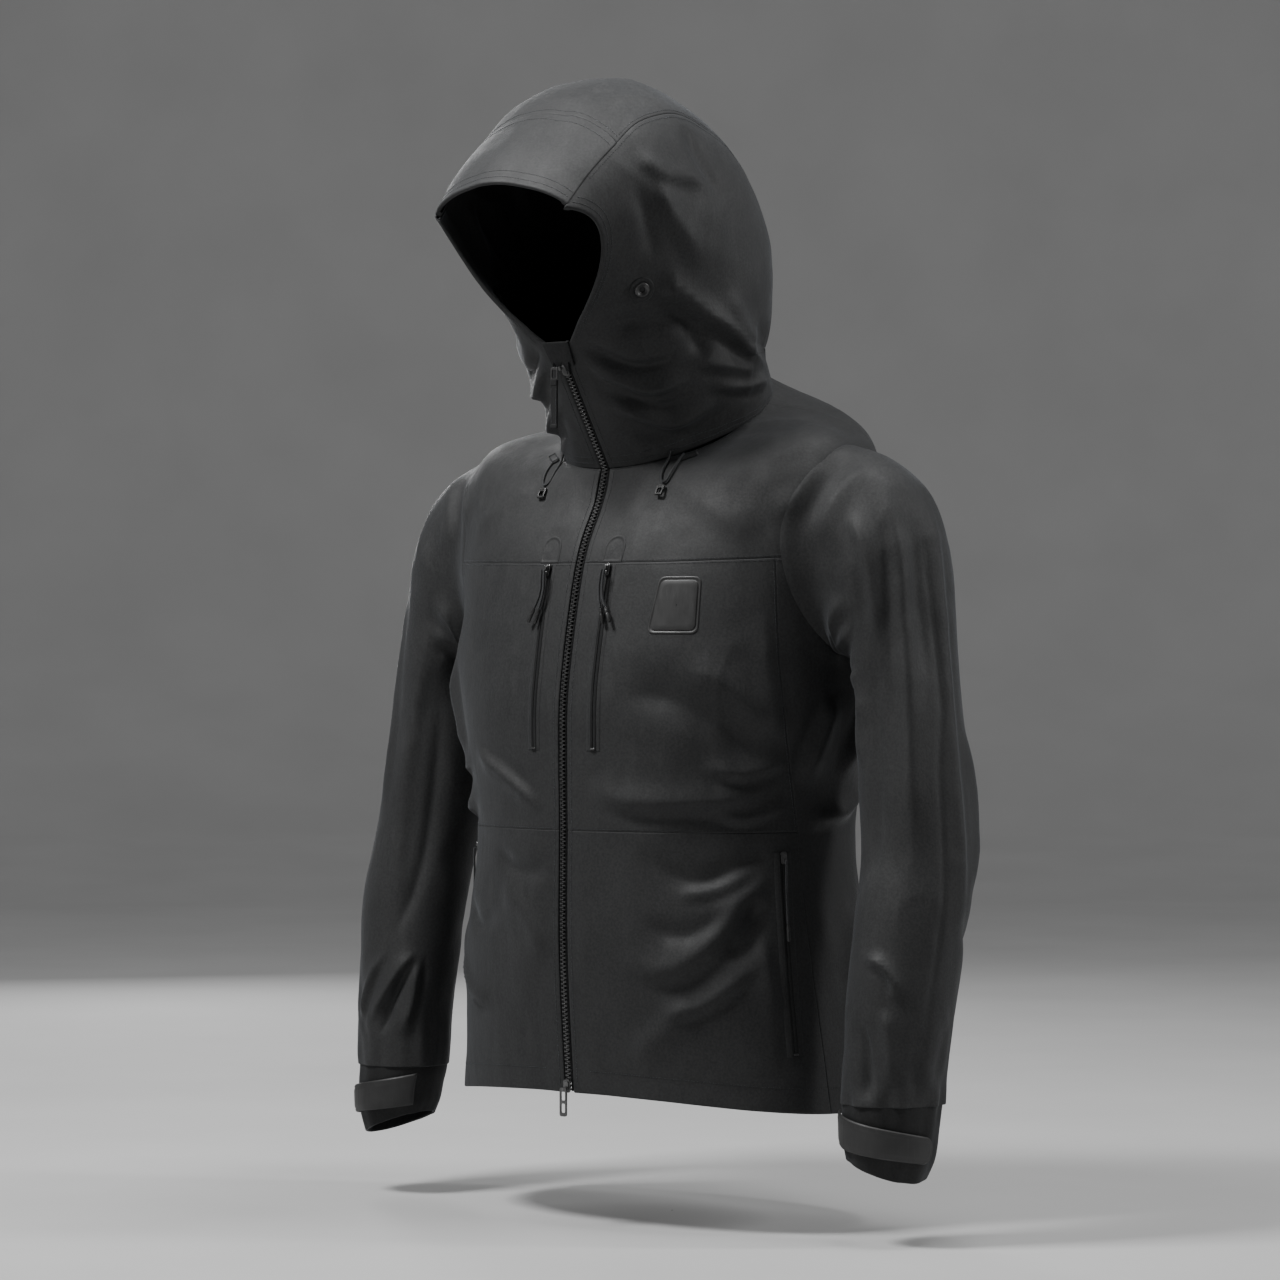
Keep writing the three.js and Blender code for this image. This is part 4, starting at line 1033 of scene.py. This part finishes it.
def plate(rectangles, thick, rounding, at=(0, 0, 0)):
    """A flat plate with softened edges: the first rectangle is its outline, the others are windows."""
    curve = bpy.data.curves.new("plate", "CURVE")
    curve.dimensions, curve.fill_mode = "2D", "BOTH"
    curve.extrude, curve.bevel_depth, curve.bevel_resolution = thick / 2 - rounding, rounding, 1
    for index, (x, y, width, length, corner) in enumerate(rectangles):
        grow = -rounding if index == 0 else rounding
        corner = max(corner + grow, 0.05)
        w, h = width / 2 + grow - corner, length / 2 + grow - corner
        points = []
        for turn, (cx, cy) in enumerate(((w, h), (-w, h), (-w, -h), (w, -h))):
            for part in range(5):
                a = (turn + part / 4) * math.pi / 2
                points.append((x + cx + corner * math.cos(a), y + cy + corner * math.sin(a), 0, 1))
        spline = curve.splines.new("POLY")
        spline.points.add(len(points) - 1)
        for point, co in zip(spline.points, points):
            point.co = co
        spline.use_cyclic_u = True
    holder = bpy.data.objects.new("plate", curve)
    mesh = bpy.data.meshes.new_from_object(holder)
    V = np.array([v.co for v in mesh.vertices]) + at
    F = [tuple(p.vertices) for p in mesh.polygons]
    bpy.data.objects.remove(holder)
    bpy.data.meshes.remove(mesh)
    bpy.data.curves.remove(curve)
    return V, F


def lathe(profile, sides):
    """A ring or barrel about the local out axis from (radius, height) pairs."""
    turn = np.linspace(0, 2 * math.pi, sides, endpoint=False)
    V = np.array([(r * math.cos(a), r * math.sin(a), h) for r, h in profile for a in turn])
    return V, ring_faces(len(profile), sides)


def merged(parts):
    points, faces, count = [], [], 0
    for V, F in parts:
        points.append(V)
        faces += [tuple(i + count for i in f) for f in F]
        count += len(V)
    return np.concatenate(points), faces


def placed(V, place):
    at, across, along, out = (np.asarray(a, float) for a in place)
    return at + V[:, :1] * across + V[:, 1:2] * along + V[:, 2:] * out


def hard(name, parts, place, body, material, nodes=(), blend=None, sharp=38):
    """A hard part from plates and rings, put in its place."""
    V, F = merged(parts)
    mesh = mesh_of(name, placed(V, place), F)
    mesh.set_sharp_from_angle(angle=math.radians(sharp))
    return new_object(name, mesh, body, material, nodes, blend)


def scattered(name, template, places, body, material, sharp, nodes=(), blend=None):
    """Many copies of one small shape. places holds arrays of origins and three directions."""
    V, F = template
    at, across, along, out = places
    points = at[:, None]
    for i, direction in enumerate((across, along, out)):
        points = points + V[:, i, None] * direction[:, None]
    faces = (np.arange(len(at))[:, None, None] * len(V) + np.array(F)[None]).reshape(-1, len(F[0]))
    mesh = mesh_of(name, points.reshape(-1, 3), faces)
    mesh.set_sharp_from_angle(angle=math.radians(sharp))
    new_object(name, mesh, body, material, nodes, blend)


def evenly(P, N, pitch, start=0.5):
    """Places at an even pitch along a line: origins, across, along and out."""
    length = np.concatenate([[0], np.cumsum(np.linalg.norm(np.diff(P, axis=0), axis=1))])
    wanted = np.arange(pitch * start, length[-1], pitch)
    at = np.stack([np.interp(wanted, length, P[:, i]) for i in range(3)], -1)
    tangent = unit(np.gradient(P, axis=0))
    along = unit(np.stack([np.interp(wanted, length, tangent[:, i]) for i in range(3)], -1))
    out = unit(np.stack([np.interp(wanted, length, N[:, i]) for i in range(3)], -1))
    across = unit(np.cross(along, out))
    return at, across, along, np.cross(across, along)


def ribbon(name, P, N, profile, material, nodes=()):
    """A strip of the torso along a line: profile is (offset across, height) pairs from side to side."""
    along = unit(np.gradient(P, axis=0))
    across = unit(np.cross(along, N))
    offsets, lifts = (np.array(a, float)[None, :, None] for a in zip(*profile))
    G = P[:, None] + across[:, None] * offsets + N[:, None] * lifts
    out = np.broadcast_to(N[:, None], G.shape)
    new_object(name, grid_mesh(name, G, grid_normals(G, out)), "root", material, nodes)


STITCH = lathe([(0.02, -1.15), (0.2, -0.95), (0.27, 0), (0.2, 0.95), (0.02, 1.15)], 6)
STITCH = (STITCH[0][:, [1, 2, 0]], STITCH[1])
STITCH_LIFT = 0.12


def stitches(name, lines, body="root", blend=None, pitch=3.0):
    """Rows of stitches. Each line is the points and normals it is sewn along."""
    found = [evenly(P + N * STITCH_LIFT, N, pitch) for P, N in lines]
    places = [np.concatenate([f[i] for f in found]) for i in range(4)]
    scattered(name, STITCH, places, body, THREAD, 80, blend=blend)


def front_line(level):
    """The middle of the front, from the hem up past the neck seam to the chin."""
    level = np.asarray(level, float)
    low = torso(np.zeros_like(level), np.minimum(level, NECK))
    return mix(low, chin_ellipse(np.zeros_like(level)), np.clip(level - NECK, 0, 2)[:, None])


def front_places(levels):
    """Places on the middle of the front: origins, across, along and out."""
    levels = np.asarray(levels, float)
    along = unit(front_line(levels + 0.03) - front_line(levels - 0.03))
    out = np.stack([0 * levels, -along[:, 2], along[:, 1]], -1)
    return front_line(levels), np.broadcast_to((1.0, 0, 0), out.shape), along, out


def front_place(level, lift=0.0):
    at, across, along, out = (a[0] for a in front_places([level]))
    return at + out * lift, across, along, out


# ---- Main zip ----

ZIP_LEVELS = np.linspace(0.01, 7.86, 420)
line, _, _, line_out = front_places(ZIP_LEVELS)
outline = ((-1.0, -0.5), (-0.4, -0.82), (3.5, -0.72), (3.5, 0.72), (-0.4, 0.82), (-1.0, 0.5))
tooth_points = [
    (1.2 + (x - 1.2) * size, y * size, z)
    for z, size in ((-2.2, 1.0), (0.45, 1.0), (0.95, 0.72))
    for x, y in outline
]
tooth_faces = ring_faces(3, len(outline)) + [(12, 13, 14, 15), (12, 15, 16, 17)]
TOOTH_PITCH = 3.9
TAPE_PROFILE = ((0.9, -3.2), (2.6, -0.9), (3.6, -0.3), (4.2, -0.9), (4.6, -2.0), (8, -2.4), (12.5, -3.4))
for name, side in SIDES:
    V = np.array(tooth_points) * (side, 1, 1)
    places = evenly(line, line_out, TOOTH_PITCH, 0.4 if side > 0 else 0.9)
    places = (places[0], np.broadcast_to((1.0, 0, 0), places[0].shape), places[2], places[3])
    nodes = (f"main_zip_{name}",)
    scattered(f"zip_teeth_{name}", (V, tooth_faces), places, "root", TEETH, 30, nodes)
    ribbon(f"zip_tape_{name}", line, line_out, [(side * x, z) for x, z in TAPE_PROFILE], TAPE)


def slider(width, length, lug_x, lug_y, lift=0.0, proud=4.6):
    """A zip slider: base plate, raised bridge, and the lug that its pull hangs from, which stands proud."""
    return [
        plate([(0, 0, width, length, width / 3)], 1.2, 0.35, (0, 0, lift + 0.6)),
        plate([(0, 0, width * 0.7, length * 0.78, width / 4)], 1.5, 0.4, (0, 0, lift + 1.8)),
        plate([(lug_x, lug_y, 3, 4.4, 1.1)], 2.8, 0.5, (0, 0, proud - 1.4)),
    ]


def metal(name, parts, place, body, nodes=()):
    hard(name, parts, place, body, METAL, nodes)


MAIN_LIFT, PULL_GAP, PULL_THICK = 1.4, 1.5, 1.8
TOP_LEVEL, BOTTOM_LEVEL = 7.84, 0.05
for name, parts, level in (
    ("main_slider", slider(8.5, 13, -3, 3), TOP_LEVEL),
    ("bottom_slider", slider(8.5, 13, 0, -3, 0.9), BOTTOM_LEVEL),
):
    metal(f"{name}_body", parts, front_place(level, MAIN_LIFT), name, (name,))
PLUMB = ((1, 0, 0), (0, 0, 1), (0, -1, 0))


def hanging(level, turn, x, drop):
    """Where a pull hangs plumb in front of a slider's lug."""
    at, _, along, out = front_place(level)
    lug = at + along * 3 * turn + out * (MAIN_LIFT + 4.6)
    return ((x, lug[1] - PULL_THICK / 2 - PULL_GAP, lug[2] + 2 - drop), *PLUMB)


pull_ring = [plate([(0, 0, 9, 14, 2.4), (0, 0.2, 5.4, 9, 1.6)], PULL_THICK, 0.5)]
metal("main_pull_ring", pull_ring, hanging(TOP_LEVEL, 1, -7, 7), "main_pull", ("main_pull",))
tab_place = hanging(TOP_LEVEL, 1, -7, 11 + 24.5)
tab_parts = [
    plate([(0, 0, 8, 49, 1.2)], 2.0, 0.6),
    plate([(0, 20.5, 8.2, 6.5, 1.0)], 3.0, 0.9),
    plate([(0, -22, 8.1, 4.2, 1.2)], 2.6, 0.8),
]
hard("main_pull_tab", tab_parts, tab_place, "main_pull", TAPE, sharp=60)
tab_at = np.array(tab_place[0])
tab_lines = []
for x in (-2.9, 2.9):
    P = tab_at + np.array([(x, -1.05, z) for z in np.linspace(-18.5, 16, 20)])
    tab_lines.append((P, np.broadcast_to((0.0, -1, 0), P.shape)))
stitches("main_pull_stitches", tab_lines, body="main_pull", pitch=2.6)
bottom_plate = [plate([(0, 0, 9, 28, 2.2), (0, 6, 5, 9, 1.3), (0, -6, 5, 9, 1.3)], PULL_THICK, 0.5)]
metal("bottom_pull_plate", bottom_plate, hanging(BOTTOM_LEVEL, -1, 0, 14), "bottom_pull", ("bottom_pull",))


# ---- Pocket zips, their sliders and cords ----

def zip_path(kind, side):
    """A pocket zip's line on the cloth, from its lower end up, with the cloth's normals."""
    if kind == "chest":
        z = np.linspace(CHEST_ZIP_BOTTOM, CHEST_ZIP_TOP, 70)
        angle, level = front_params(np.full_like(z, side * CHEST_ZIP_X), z)
    else:
        z = np.linspace(HAND_ZIP_BOTTOM, HAND_ZIP_TOP, 74)
        angle = np.full_like(z, side * HAND_ZIP_ANGLE)
        level = level_at_height(angle, z)
    return torso_cloth.at(angle, level)


def barrel(end, before):
    """The frame of a tip that carries on from a cord's end."""
    along = unit(end - before)
    across = unit(np.cross(along, (0, 1.0, 0.2)))
    return end, across, np.cross(along, across), along


TIP_PROFILE = [
    (0.05, 0.4), (1.25, 0.4), (1.5, 1.2), (1.35, 1.9), (1.8, 3), (1.8, 6),
    (1.62, 6.5), (1.8, 7), (1.8, 14), (1.4, 15.7), (0.05, 16),
]
LIP_PROFILE = ((0.25, 0.3), (0.35, 0.8), (0.8, 1.1), (3.0, 1.05), (3.6, 0.85), (3.8, 0.3))
SLIDER_FROM_TOP, SLIDER_REST = 6, 1.3
# Half width of the welt, the slider's lift, the height of the lips, and the zip's length.
POCKETS = {
    "chest": (7.6, 1.1, 1.0, CHEST_ZIP_TOP - CHEST_ZIP_BOTTOM),
    "hand": (8.5, 1.7, 0.75, HAND_ZIP_TOP - HAND_ZIP_BOTTOM),
}


def on_line(P, N, index, along, lift=0.0):
    return P[index] + N[index] * lift, unit(np.cross(along, N[index])), along, N[index]


def pocket_zip(kind, name, side):
    half_welt, lift, lip_height, zip_length = POCKETS[kind]
    P, N = zip_path(kind, side)
    rise = [(half_welt + 0.6, -0.1), (half_welt, 0.4), (4, 0.45)]
    welt = [(-x, z) for x, z in rise] + [(0, 0.3)] + rise[::-1]
    ribbon(f"{kind}_zip_welt_{name}", P, N, welt, SHELL)
    for half in (-1, 1):
        lips = [(half * x, z * lip_height) for x, z in LIP_PROFILE]
        nodes = (f"{kind}_zip_{name}",) if half > 0 else ()
        ribbon(f"{kind}_zip_lip_{name}_{half + 1}", P, N, lips, LAMINATE, nodes)
    along = unit(P[-1] - P[-8])
    for end, step in ((0, 1.6), (-1, -1.6)):
        at, *directions = on_line(P, N, end, along)
        stop = [plate([(0, 0, 5.2, 2.0, 0.6)], 1.2, 0.3, (0, 0, 1.6))]
        metal(f"{kind}_zip_stop_{name}_{end + 1}", stop, (at + along * step, *directions), "root")
    index = int(round((1 - SLIDER_FROM_TOP / zip_length) * (len(P) - 1)))
    place = on_line(P, N, index, unit(P[index + 1] - P[index - 1]), SLIDER_REST)
    eye = plate([(0, -3.4, 3.2, 3.6, 1.2), (0, -3.4, 1.2, 1.6, 0.5)], 1.0, 0.3, (0, 0, 3.8))
    body = f"{kind}_slider_{name}"
    metal(f"{kind}_slider_body_{name}", slider(6, 12, 0, 1.6, lift, lift + 4.5) + [eye], place, body, (body,))


def loop_clip(name, side):
    """The small square clip at the bottom of a hood cord's loop."""
    theta = math.pi / 2 - 0.53
    along, out = (0, math.cos(theta), math.sin(theta)), (0, -math.sin(theta), math.cos(theta))
    frame_plate = plate([(0, 0, 9, 12, 1.8), (0, -1, 4.6, 5, 0.8)], 2.4, 0.6, (0, 0, 1.2))
    bar = plate([(0, 4.2, 7, 2.2, 0.8)], 3.2, 0.6, (0, 0, 1.2))
    place = (side * 76.0, -109.6, 655.2), (1, 0, 0), along, out
    nodes = (f"hood_loop_end_{name}",)
    return hard(f"hood_loop_clip_{name}", [frame_plate, bar], place, "root", TIP, nodes)


def cord_tip(kind, name, points):
    """The moulded tip that carries on from a pocket cord's end."""
    end, before = (points[i] * 1000 - (0, SPINE_Y, 0) for i in (-1, -2))
    pocket = kind.split("_")[0]
    place = barrel(end, before)
    nodes = (f"{kind}_tip_{name}",)
    tip = lathe(TIP_PROFILE, 16)
    return hard(f"{kind}_cord_tip_{name}", [tip], place, f"{pocket}_slider_{name}", TIP, nodes)


for name, side in SIDES:
    for kind in POCKETS:
        pocket_zip(kind, name, side)
for (kind, name), (obj, points) in CORDS.items():
    if kind == "hood_loop":
        end, far_end = loop_clip(name, dict(SIDES)[name]), "object"
    else:
        end, far_end = cord_tip(kind, name, points), "fitting"
    obj.data.materials.append(CORD)
    length = float(np.linalg.norm(np.diff(points, axis=0), axis=1).sum())
    tuple(points[0])


# ---- Patches laid on the cloth ----

def rounded(corners, radius):
    """A closed outline with round corners, as points of the plane about 3 mm apart."""
    c = np.array(corners, float)
    found = []
    for i, p in enumerate(c):
        a, b = unit(c[i - 1] - p), unit(c[(i + 1) % len(c)] - p)
        start, end = p + a * radius, p + b * radius
        for t in np.linspace(0, 1, 6):
            found.append((1 - t) ** 2 * start + 2 * t * (1 - t) * p + t * t * end)
    dense = []
    for i, p in enumerate(found):
        q = found[(i + 1) % len(found)]
        count = max(1, int(np.linalg.norm(q - p) / 3))
        dense += [p + (q - p) * k / count for k in range(count)]
    return np.array(dense)


def patch(name, outline, centre, rings, material, nodes=()):
    """A patch bonded to the front: rings of its outline drawn in towards its centre, each at its height."""
    rows = []
    for size, lift in rings:
        x, z = (centre + (outline - centre) * size).T
        P, n = torso_cloth.at(*front_params(x, z))
        rows.append(P + n * lift)
    G = np.array(rows)
    G = np.concatenate([G, G[:, :1]], axis=1)
    wide = np.concatenate([G[:, -2:-1], G, G[:, 1:2]], 1)
    N = unit(np.cross(np.gradient(wide, axis=1)[:, 1:-1], np.gradient(G, axis=0)))
    N *= np.sign((N[-3] * n.mean(0)).sum())
    mesh = grid_mesh(name, G, N)
    mesh.set_sharp_from_angle(angle=math.radians(50))
    new_object(name, mesh, "root", material, nodes)


def inward(*stops):
    """Rings of (size, height) that carry on to the middle at the last height."""
    return [*stops] + [(size, stops[-1][1]) for size in (0.7, 0.5, 0.3, 0.15, 0.02)]


badge_outline = rounded([(91, 516), (141.5, 516), (140, 571), (98, 571)], 7)
badge_rings = inward(
    (1.0, 0.0), (0.998, 0.6), (0.98, 0.85), (0.945, 0.85),
    (0.93, 0.5), (0.885, 0.5), (0.875, 1.25), (0.85, 1.5),
)
patch("badge_patch", badge_outline, np.array([119, 543.5]), badge_rings, BADGE, ("badge",))


def zip_garage(name, side):
    """The arched patch over the top of a chest zip."""
    turns = np.linspace(-math.pi / 2, math.pi / 2, 15)
    arch = [(side * (40 + 12 * math.sin(a)), 600 + 12 * math.cos(a)) for a in turns]
    feet = [(side * 28, 585.5), (side * 28, 592), *arch, (side * 52, 592), (side * 52, 585.5)]
    outline = np.array(feet)
    outline = np.concatenate([outline, np.linspace(outline[-1], outline[0], 8)[1:-1]])
    rings = inward((1.0, -0.1), (0.99, 0.45), (0.95, 0.6), (0.86, 0.6), (0.84, 0.35))
    patch(f"zip_garage_{name}", outline, np.array([side * 40, 597.0]), rings, SHELL)


def loop_tunnel(name, side):
    """The padded tunnel at the neck seam that the hood cord's loop comes out of."""
    P, n = torso_cloth.at(side * np.array([36.0, 41.5, 48.0]), np.full(3, 6.86))
    across = unit(P[2] - P[0]) * side
    out = unit(n[1])
    place = (P[1] - out * 0.4, across, np.cross(out, across), out)
    tunnel = [plate([(0, 0, 21, 8, 2.6)], 4.2, 1.6, (0, 0, 0.8))]
    tunnel += [plate([(x, 0, 1.6, 7.2, 0.5)], 1.2, 0.4, (0, 0, 2.9)) for x in (-8.4, 8.4)]
    hard(f"loop_tunnel_{name}", tunnel, place, "root", SHELL, sharp=70)


def eyelet(name, side):
    """The embossed disc with a metal ring on the side of the hood."""
    cloth = Cloth(hood_side, (side * 60, 0.5, (side, 0, 0)))
    P, n = cloth.at(np.array([side * 34.6]), np.array([1.219]))
    up = cloth.at(np.array([side * 34.6]), np.array([1.26]))[0][0] - P[0]
    across = unit(np.cross(up, n[0]))
    place = (P[0], across, np.cross(n[0], across), n[0])
    disc = [lathe([(12.8, -1.5), (12.4, 0.9), (11.4, 1.5), (10.2, 1.2), (6.6, 1.2), (6.2, 0.7)], 40)]
    hard(f"eyelet_disc_{name}", disc, place, "hood", SHELL, blend=HOOD_BODIES, sharp=70)
    nodes = (f"hood_eyelet_{name}",)
    rim = [(7.6, 0.9), (7.4, 2.0), (6.4, 2.6), (5.3, 2.3), (4.8, 1.6), (3.6, 1.5), (3.0, 0.9), (3.0, -1.0)]
    ring = [lathe(rim, 36)]
    hard(f"eyelet_ring_{name}", ring, place, "hood", EYELET, nodes, HOOD_BODIES, sharp=60)


for name, side in SIDES:
    zip_garage(name, side)
    loop_tunnel(name, side)
    eyelet(name, side)

u, v = np.meshgrid(np.linspace(-0.1, 0.1, 13), np.linspace(0.27, 0.44, 30))
strap_rolls = tuple((edge, 0.8, 2.0) for edge in ("u0", "u1", "v0", "v1"))
strap_nodes = ("hood_rear_adjuster",)
panel("rear_adjuster_strap", crown, u, v, strap_rolls, strap_nodes, TAPE, body="hood", extra=1.8)
guard = Cloth(collar, (10, 0.5, (0, -1, 0)))
u, v = np.meshgrid(np.linspace(-1, 1, 41), np.linspace(0, 1, 14))
low = 0.865 + 0.035 * np.cos(3 * math.pi * u) + 0.05 * u**4
P, n = guard.at(7.6 * u * mix(0.86, 1.0, v), mix(low, 1.06, v), lift=3.2)
n = np.broadcast_to((0.0, -1, 0), n.shape)
guard_rolls = (("u0", 0.9, 2.5), ("u1", 0.9, 2.5), ("v0", 0.9, 2.5), ("v1", 1.2, 5.0))
mesh = grid_mesh("chin_guard_patch", P, grid_normals(P, n), guard_rolls)
new_object("chin_guard_patch", mesh, "root", TAPE, ("chin_guard",))


# ---- Cuff tabs ----

def position_at(side, angle, z):
    """The sleeve position at which a height lies, at one angle round the cuff."""
    low, high = np.full_like(z, CUFF_TOP - 0.6), np.full_like(z, float(CUFF_END))
    for _ in range(22):
        middle = (low + high) / 2
        above = sleeve(side)(angle, middle)[:, 2] > z
        low, high = np.where(above, middle, low), np.where(above, high, middle)
    return low


def slab(top, bottom):
    """A closed sheet between two grids."""
    rows, columns = top.shape[:2]
    faces = [tuple(f) for f in grid_faces(rows, columns, False)]
    count = rows * columns
    faces += [tuple(i + count for i in f[::-1]) for f in faces]
    index = np.arange(count).reshape(rows, columns)
    loop = np.concatenate([index[0, :-1], index[:-1, -1], index[-1, :0:-1], index[:0:-1, 0]])
    faces += [(a, a + count, b + count, b) for a, b in zip(loop, np.roll(loop, -1))]
    return np.concatenate([top.reshape(-1, 3), bottom.reshape(-1, 3)]), faces


for name, side in SIDES:
    cloth = Cloth(sleeve(side), (0, 8, (side, 0, 0)), steps=(0.5, 0.01))
    share = np.concatenate([np.linspace(0, 0.9, 56), np.linspace(0.905, 1.0, 14)])
    u, v = np.meshgrid(share, np.linspace(-1, 1, 17))
    narrow = np.sqrt(np.maximum(1 - np.clip((u - 0.915) / 0.087, 0, 1) ** 2, 0.02))
    middle, half = mix(50.0, 30.0, u), mix(16.0, 12.5, u) * narrow
    angle = mix(-150.0, 5.0, u)
    z = middle + half * v
    position = position_at(side, angle.ravel(), z.ravel()).reshape(z.shape)
    base, n = cloth.at(angle, position)
    base = 0.25 * base + 0.75 * cloth.base(angle.ravel(), position.ravel())[0].reshape(base.shape)
    rim = np.minimum((1 - np.abs(v)) * half, np.minimum(u, 1.0 - u) * 150 + 0.2)
    groove = np.exp(-(((rim - 3.4) / 0.7) ** 2))
    puff = 0.9 * smooth(rim, 0.0, 1.6) + 0.35 * smooth(rim, 3.4, 5.5) - 0.35 * groove
    P, F = slab(base + n * (2.5 + puff)[..., None], base + n * 1.3)
    mesh = mesh_of(f"cuff_tab_strap_{name}", P, F)
    mesh.validate()
    body = f"cuff_tab_{name}"
    new_object(f"cuff_tab_strap_{name}", mesh, body, TAB, (body,))


# ---- Topstitching ----

lines = []
for name, side in SIDES:
    for level, offset in ((YOKE, 0.02), (YOKE, -0.022), (WAIST, 0.02)):
        start = float(angle_at_x(np.array([11.0]), np.array([float(level)]))[0])
        stop = 84 if level == YOKE else 74
        lines.append(torso_cloth.at(side * np.linspace(start, stop, 120), np.full(120, level + offset)))
    levels = np.linspace(0.06, 6.97, 420)
    lines.append(torso_cloth.at(side * angle_at_x(11.0, levels), levels))
    lines.append(torso_cloth.at(side * np.linspace(5, 96, 150), np.full(150, 6.965)))
    seam_levels = np.linspace(WAIST + 0.05, YOKE - 0.05, 160)
    lines.append(torso_cloth.at(side * (side_seam(seam_levels) - 0.7), seam_levels))
lines.append(torso_cloth.at(np.linspace(5, 355, 500), np.full(500, 0.17)))
stitches("torso_stitches", lines)
for name, side in SIDES:
    cloth = Cloth(hood_side, (side * 60, 0.5, (side, 0, 0)))
    rows = [cloth.at(side * np.linspace(6, 128, 190), np.full(190, s)) for s in (0.05, 0.1)]
    rows.append(cloth.at(side * np.linspace(14, 128, 170), np.full(170, 1.975)))
    climb = np.linspace(1.03, 1.97, 130)
    for gap in (1.5, 3.4):
        rows.append(cloth.at(side * (3.4 + FACE_CURVE * np.sin(math.pi * (climb - 1)) + gap), climb))
    climb = np.linspace(0.06, 0.95, 60)
    rows.append(cloth.at(side * np.full(60, 5.5), climb))
    stitches(f"hood_stitches_{name}", rows, blend=HOOD_BODIES)
rows = [crown.at(np.linspace(-0.35, 0.35, 110), np.full(110, v)) for v in (0.808, 0.836, 0.975, 0.99)]
rows = [(P + N * (BRIM_LIFT if i else 0.0), N) for i, (P, N) in enumerate(rows)]
stitches("brim_stitches", rows, body="hood")
rows = [crown.at(np.full(150, side * 0.345), np.linspace(0.02, 0.8, 150)) for side in (-1, 1)]
stitches("crown_stitches", rows, blend=HOOD_BODIES)

# ---- Kept parts of the frame ----

for node in ("hem_band", "hang_loop"):
    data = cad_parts[node].data
    data.materials.clear()
    data.materials.append(TAPE)


# ---- Stage ----

def stage():
    """A wide pale floor that sweeps up into a round backdrop on every side."""
    profile = [(0.0, 0.0), (2.0, 0.0), (5.5, 0.0), (6.6, 0.1), (7.4, 0.5), (7.9, 1.2), (8.1, 2.2), (8.1, 8.0)]
    V, F = lathe([(1000 * max(r, 0.001), 1000 * z - 60) for r, z in profile], 96)
    mesh = mesh_of("floor", V, F)
    n = Nodes("floor")
    pale = n.ramp(n.noise(3, 3), ((0.3, grey(0.43)), (0.7, grey(0.46))))
    n.set(Base_Color=pale, Roughness=0.9, Emission_Color=pale, Emission_Strength=0.16)
    mesh.materials.append(n.material)
    linked("floor", mesh)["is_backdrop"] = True


def area_light(name, place, aim, size, power):
    data = bpy.data.lights.new(name, "AREA")
    data.shape = "RECTANGLE"
    data.size, data.size_y = size
    data.energy = power
    obj = linked(name, data)
    obj.location = place
    obj.rotation_euler = (Vector(aim) - Vector(place)).to_track_quat("-Z", "Y").to_euler()


stage()
area_light("key", (-0.6, -1.15, 2.45), (0, 0, 0.85), (0.6, 0.6), 78)
area_light("top", (0.5, 0.1, 2.45), (0.05, 0, 0.8), (0.5, 0.5), 24)
area_light("front", (-1.2, -3.4, 1.0), (0, 0, 0.5), (1.4, 1.4), 3)
area_light("rim_left", (-2.4, 1.6, 1.4), (0, 0, 0.6), (0.4, 1.8), 30)
area_light("rim_right", (2.4, 1.5, 2.0), (0.2, 0, 0.8), (0.3, 1.4), 42)
world = bpy.data.worlds.new("world")
bpy.context.scene.world = world
world.use_nodes = True
world.node_tree.nodes["Background"].inputs["Color"].default_value = (0.82, 0.84, 0.87, 1)
world.node_tree.nodes["Background"].inputs["Strength"].default_value = 0.02

low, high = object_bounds()
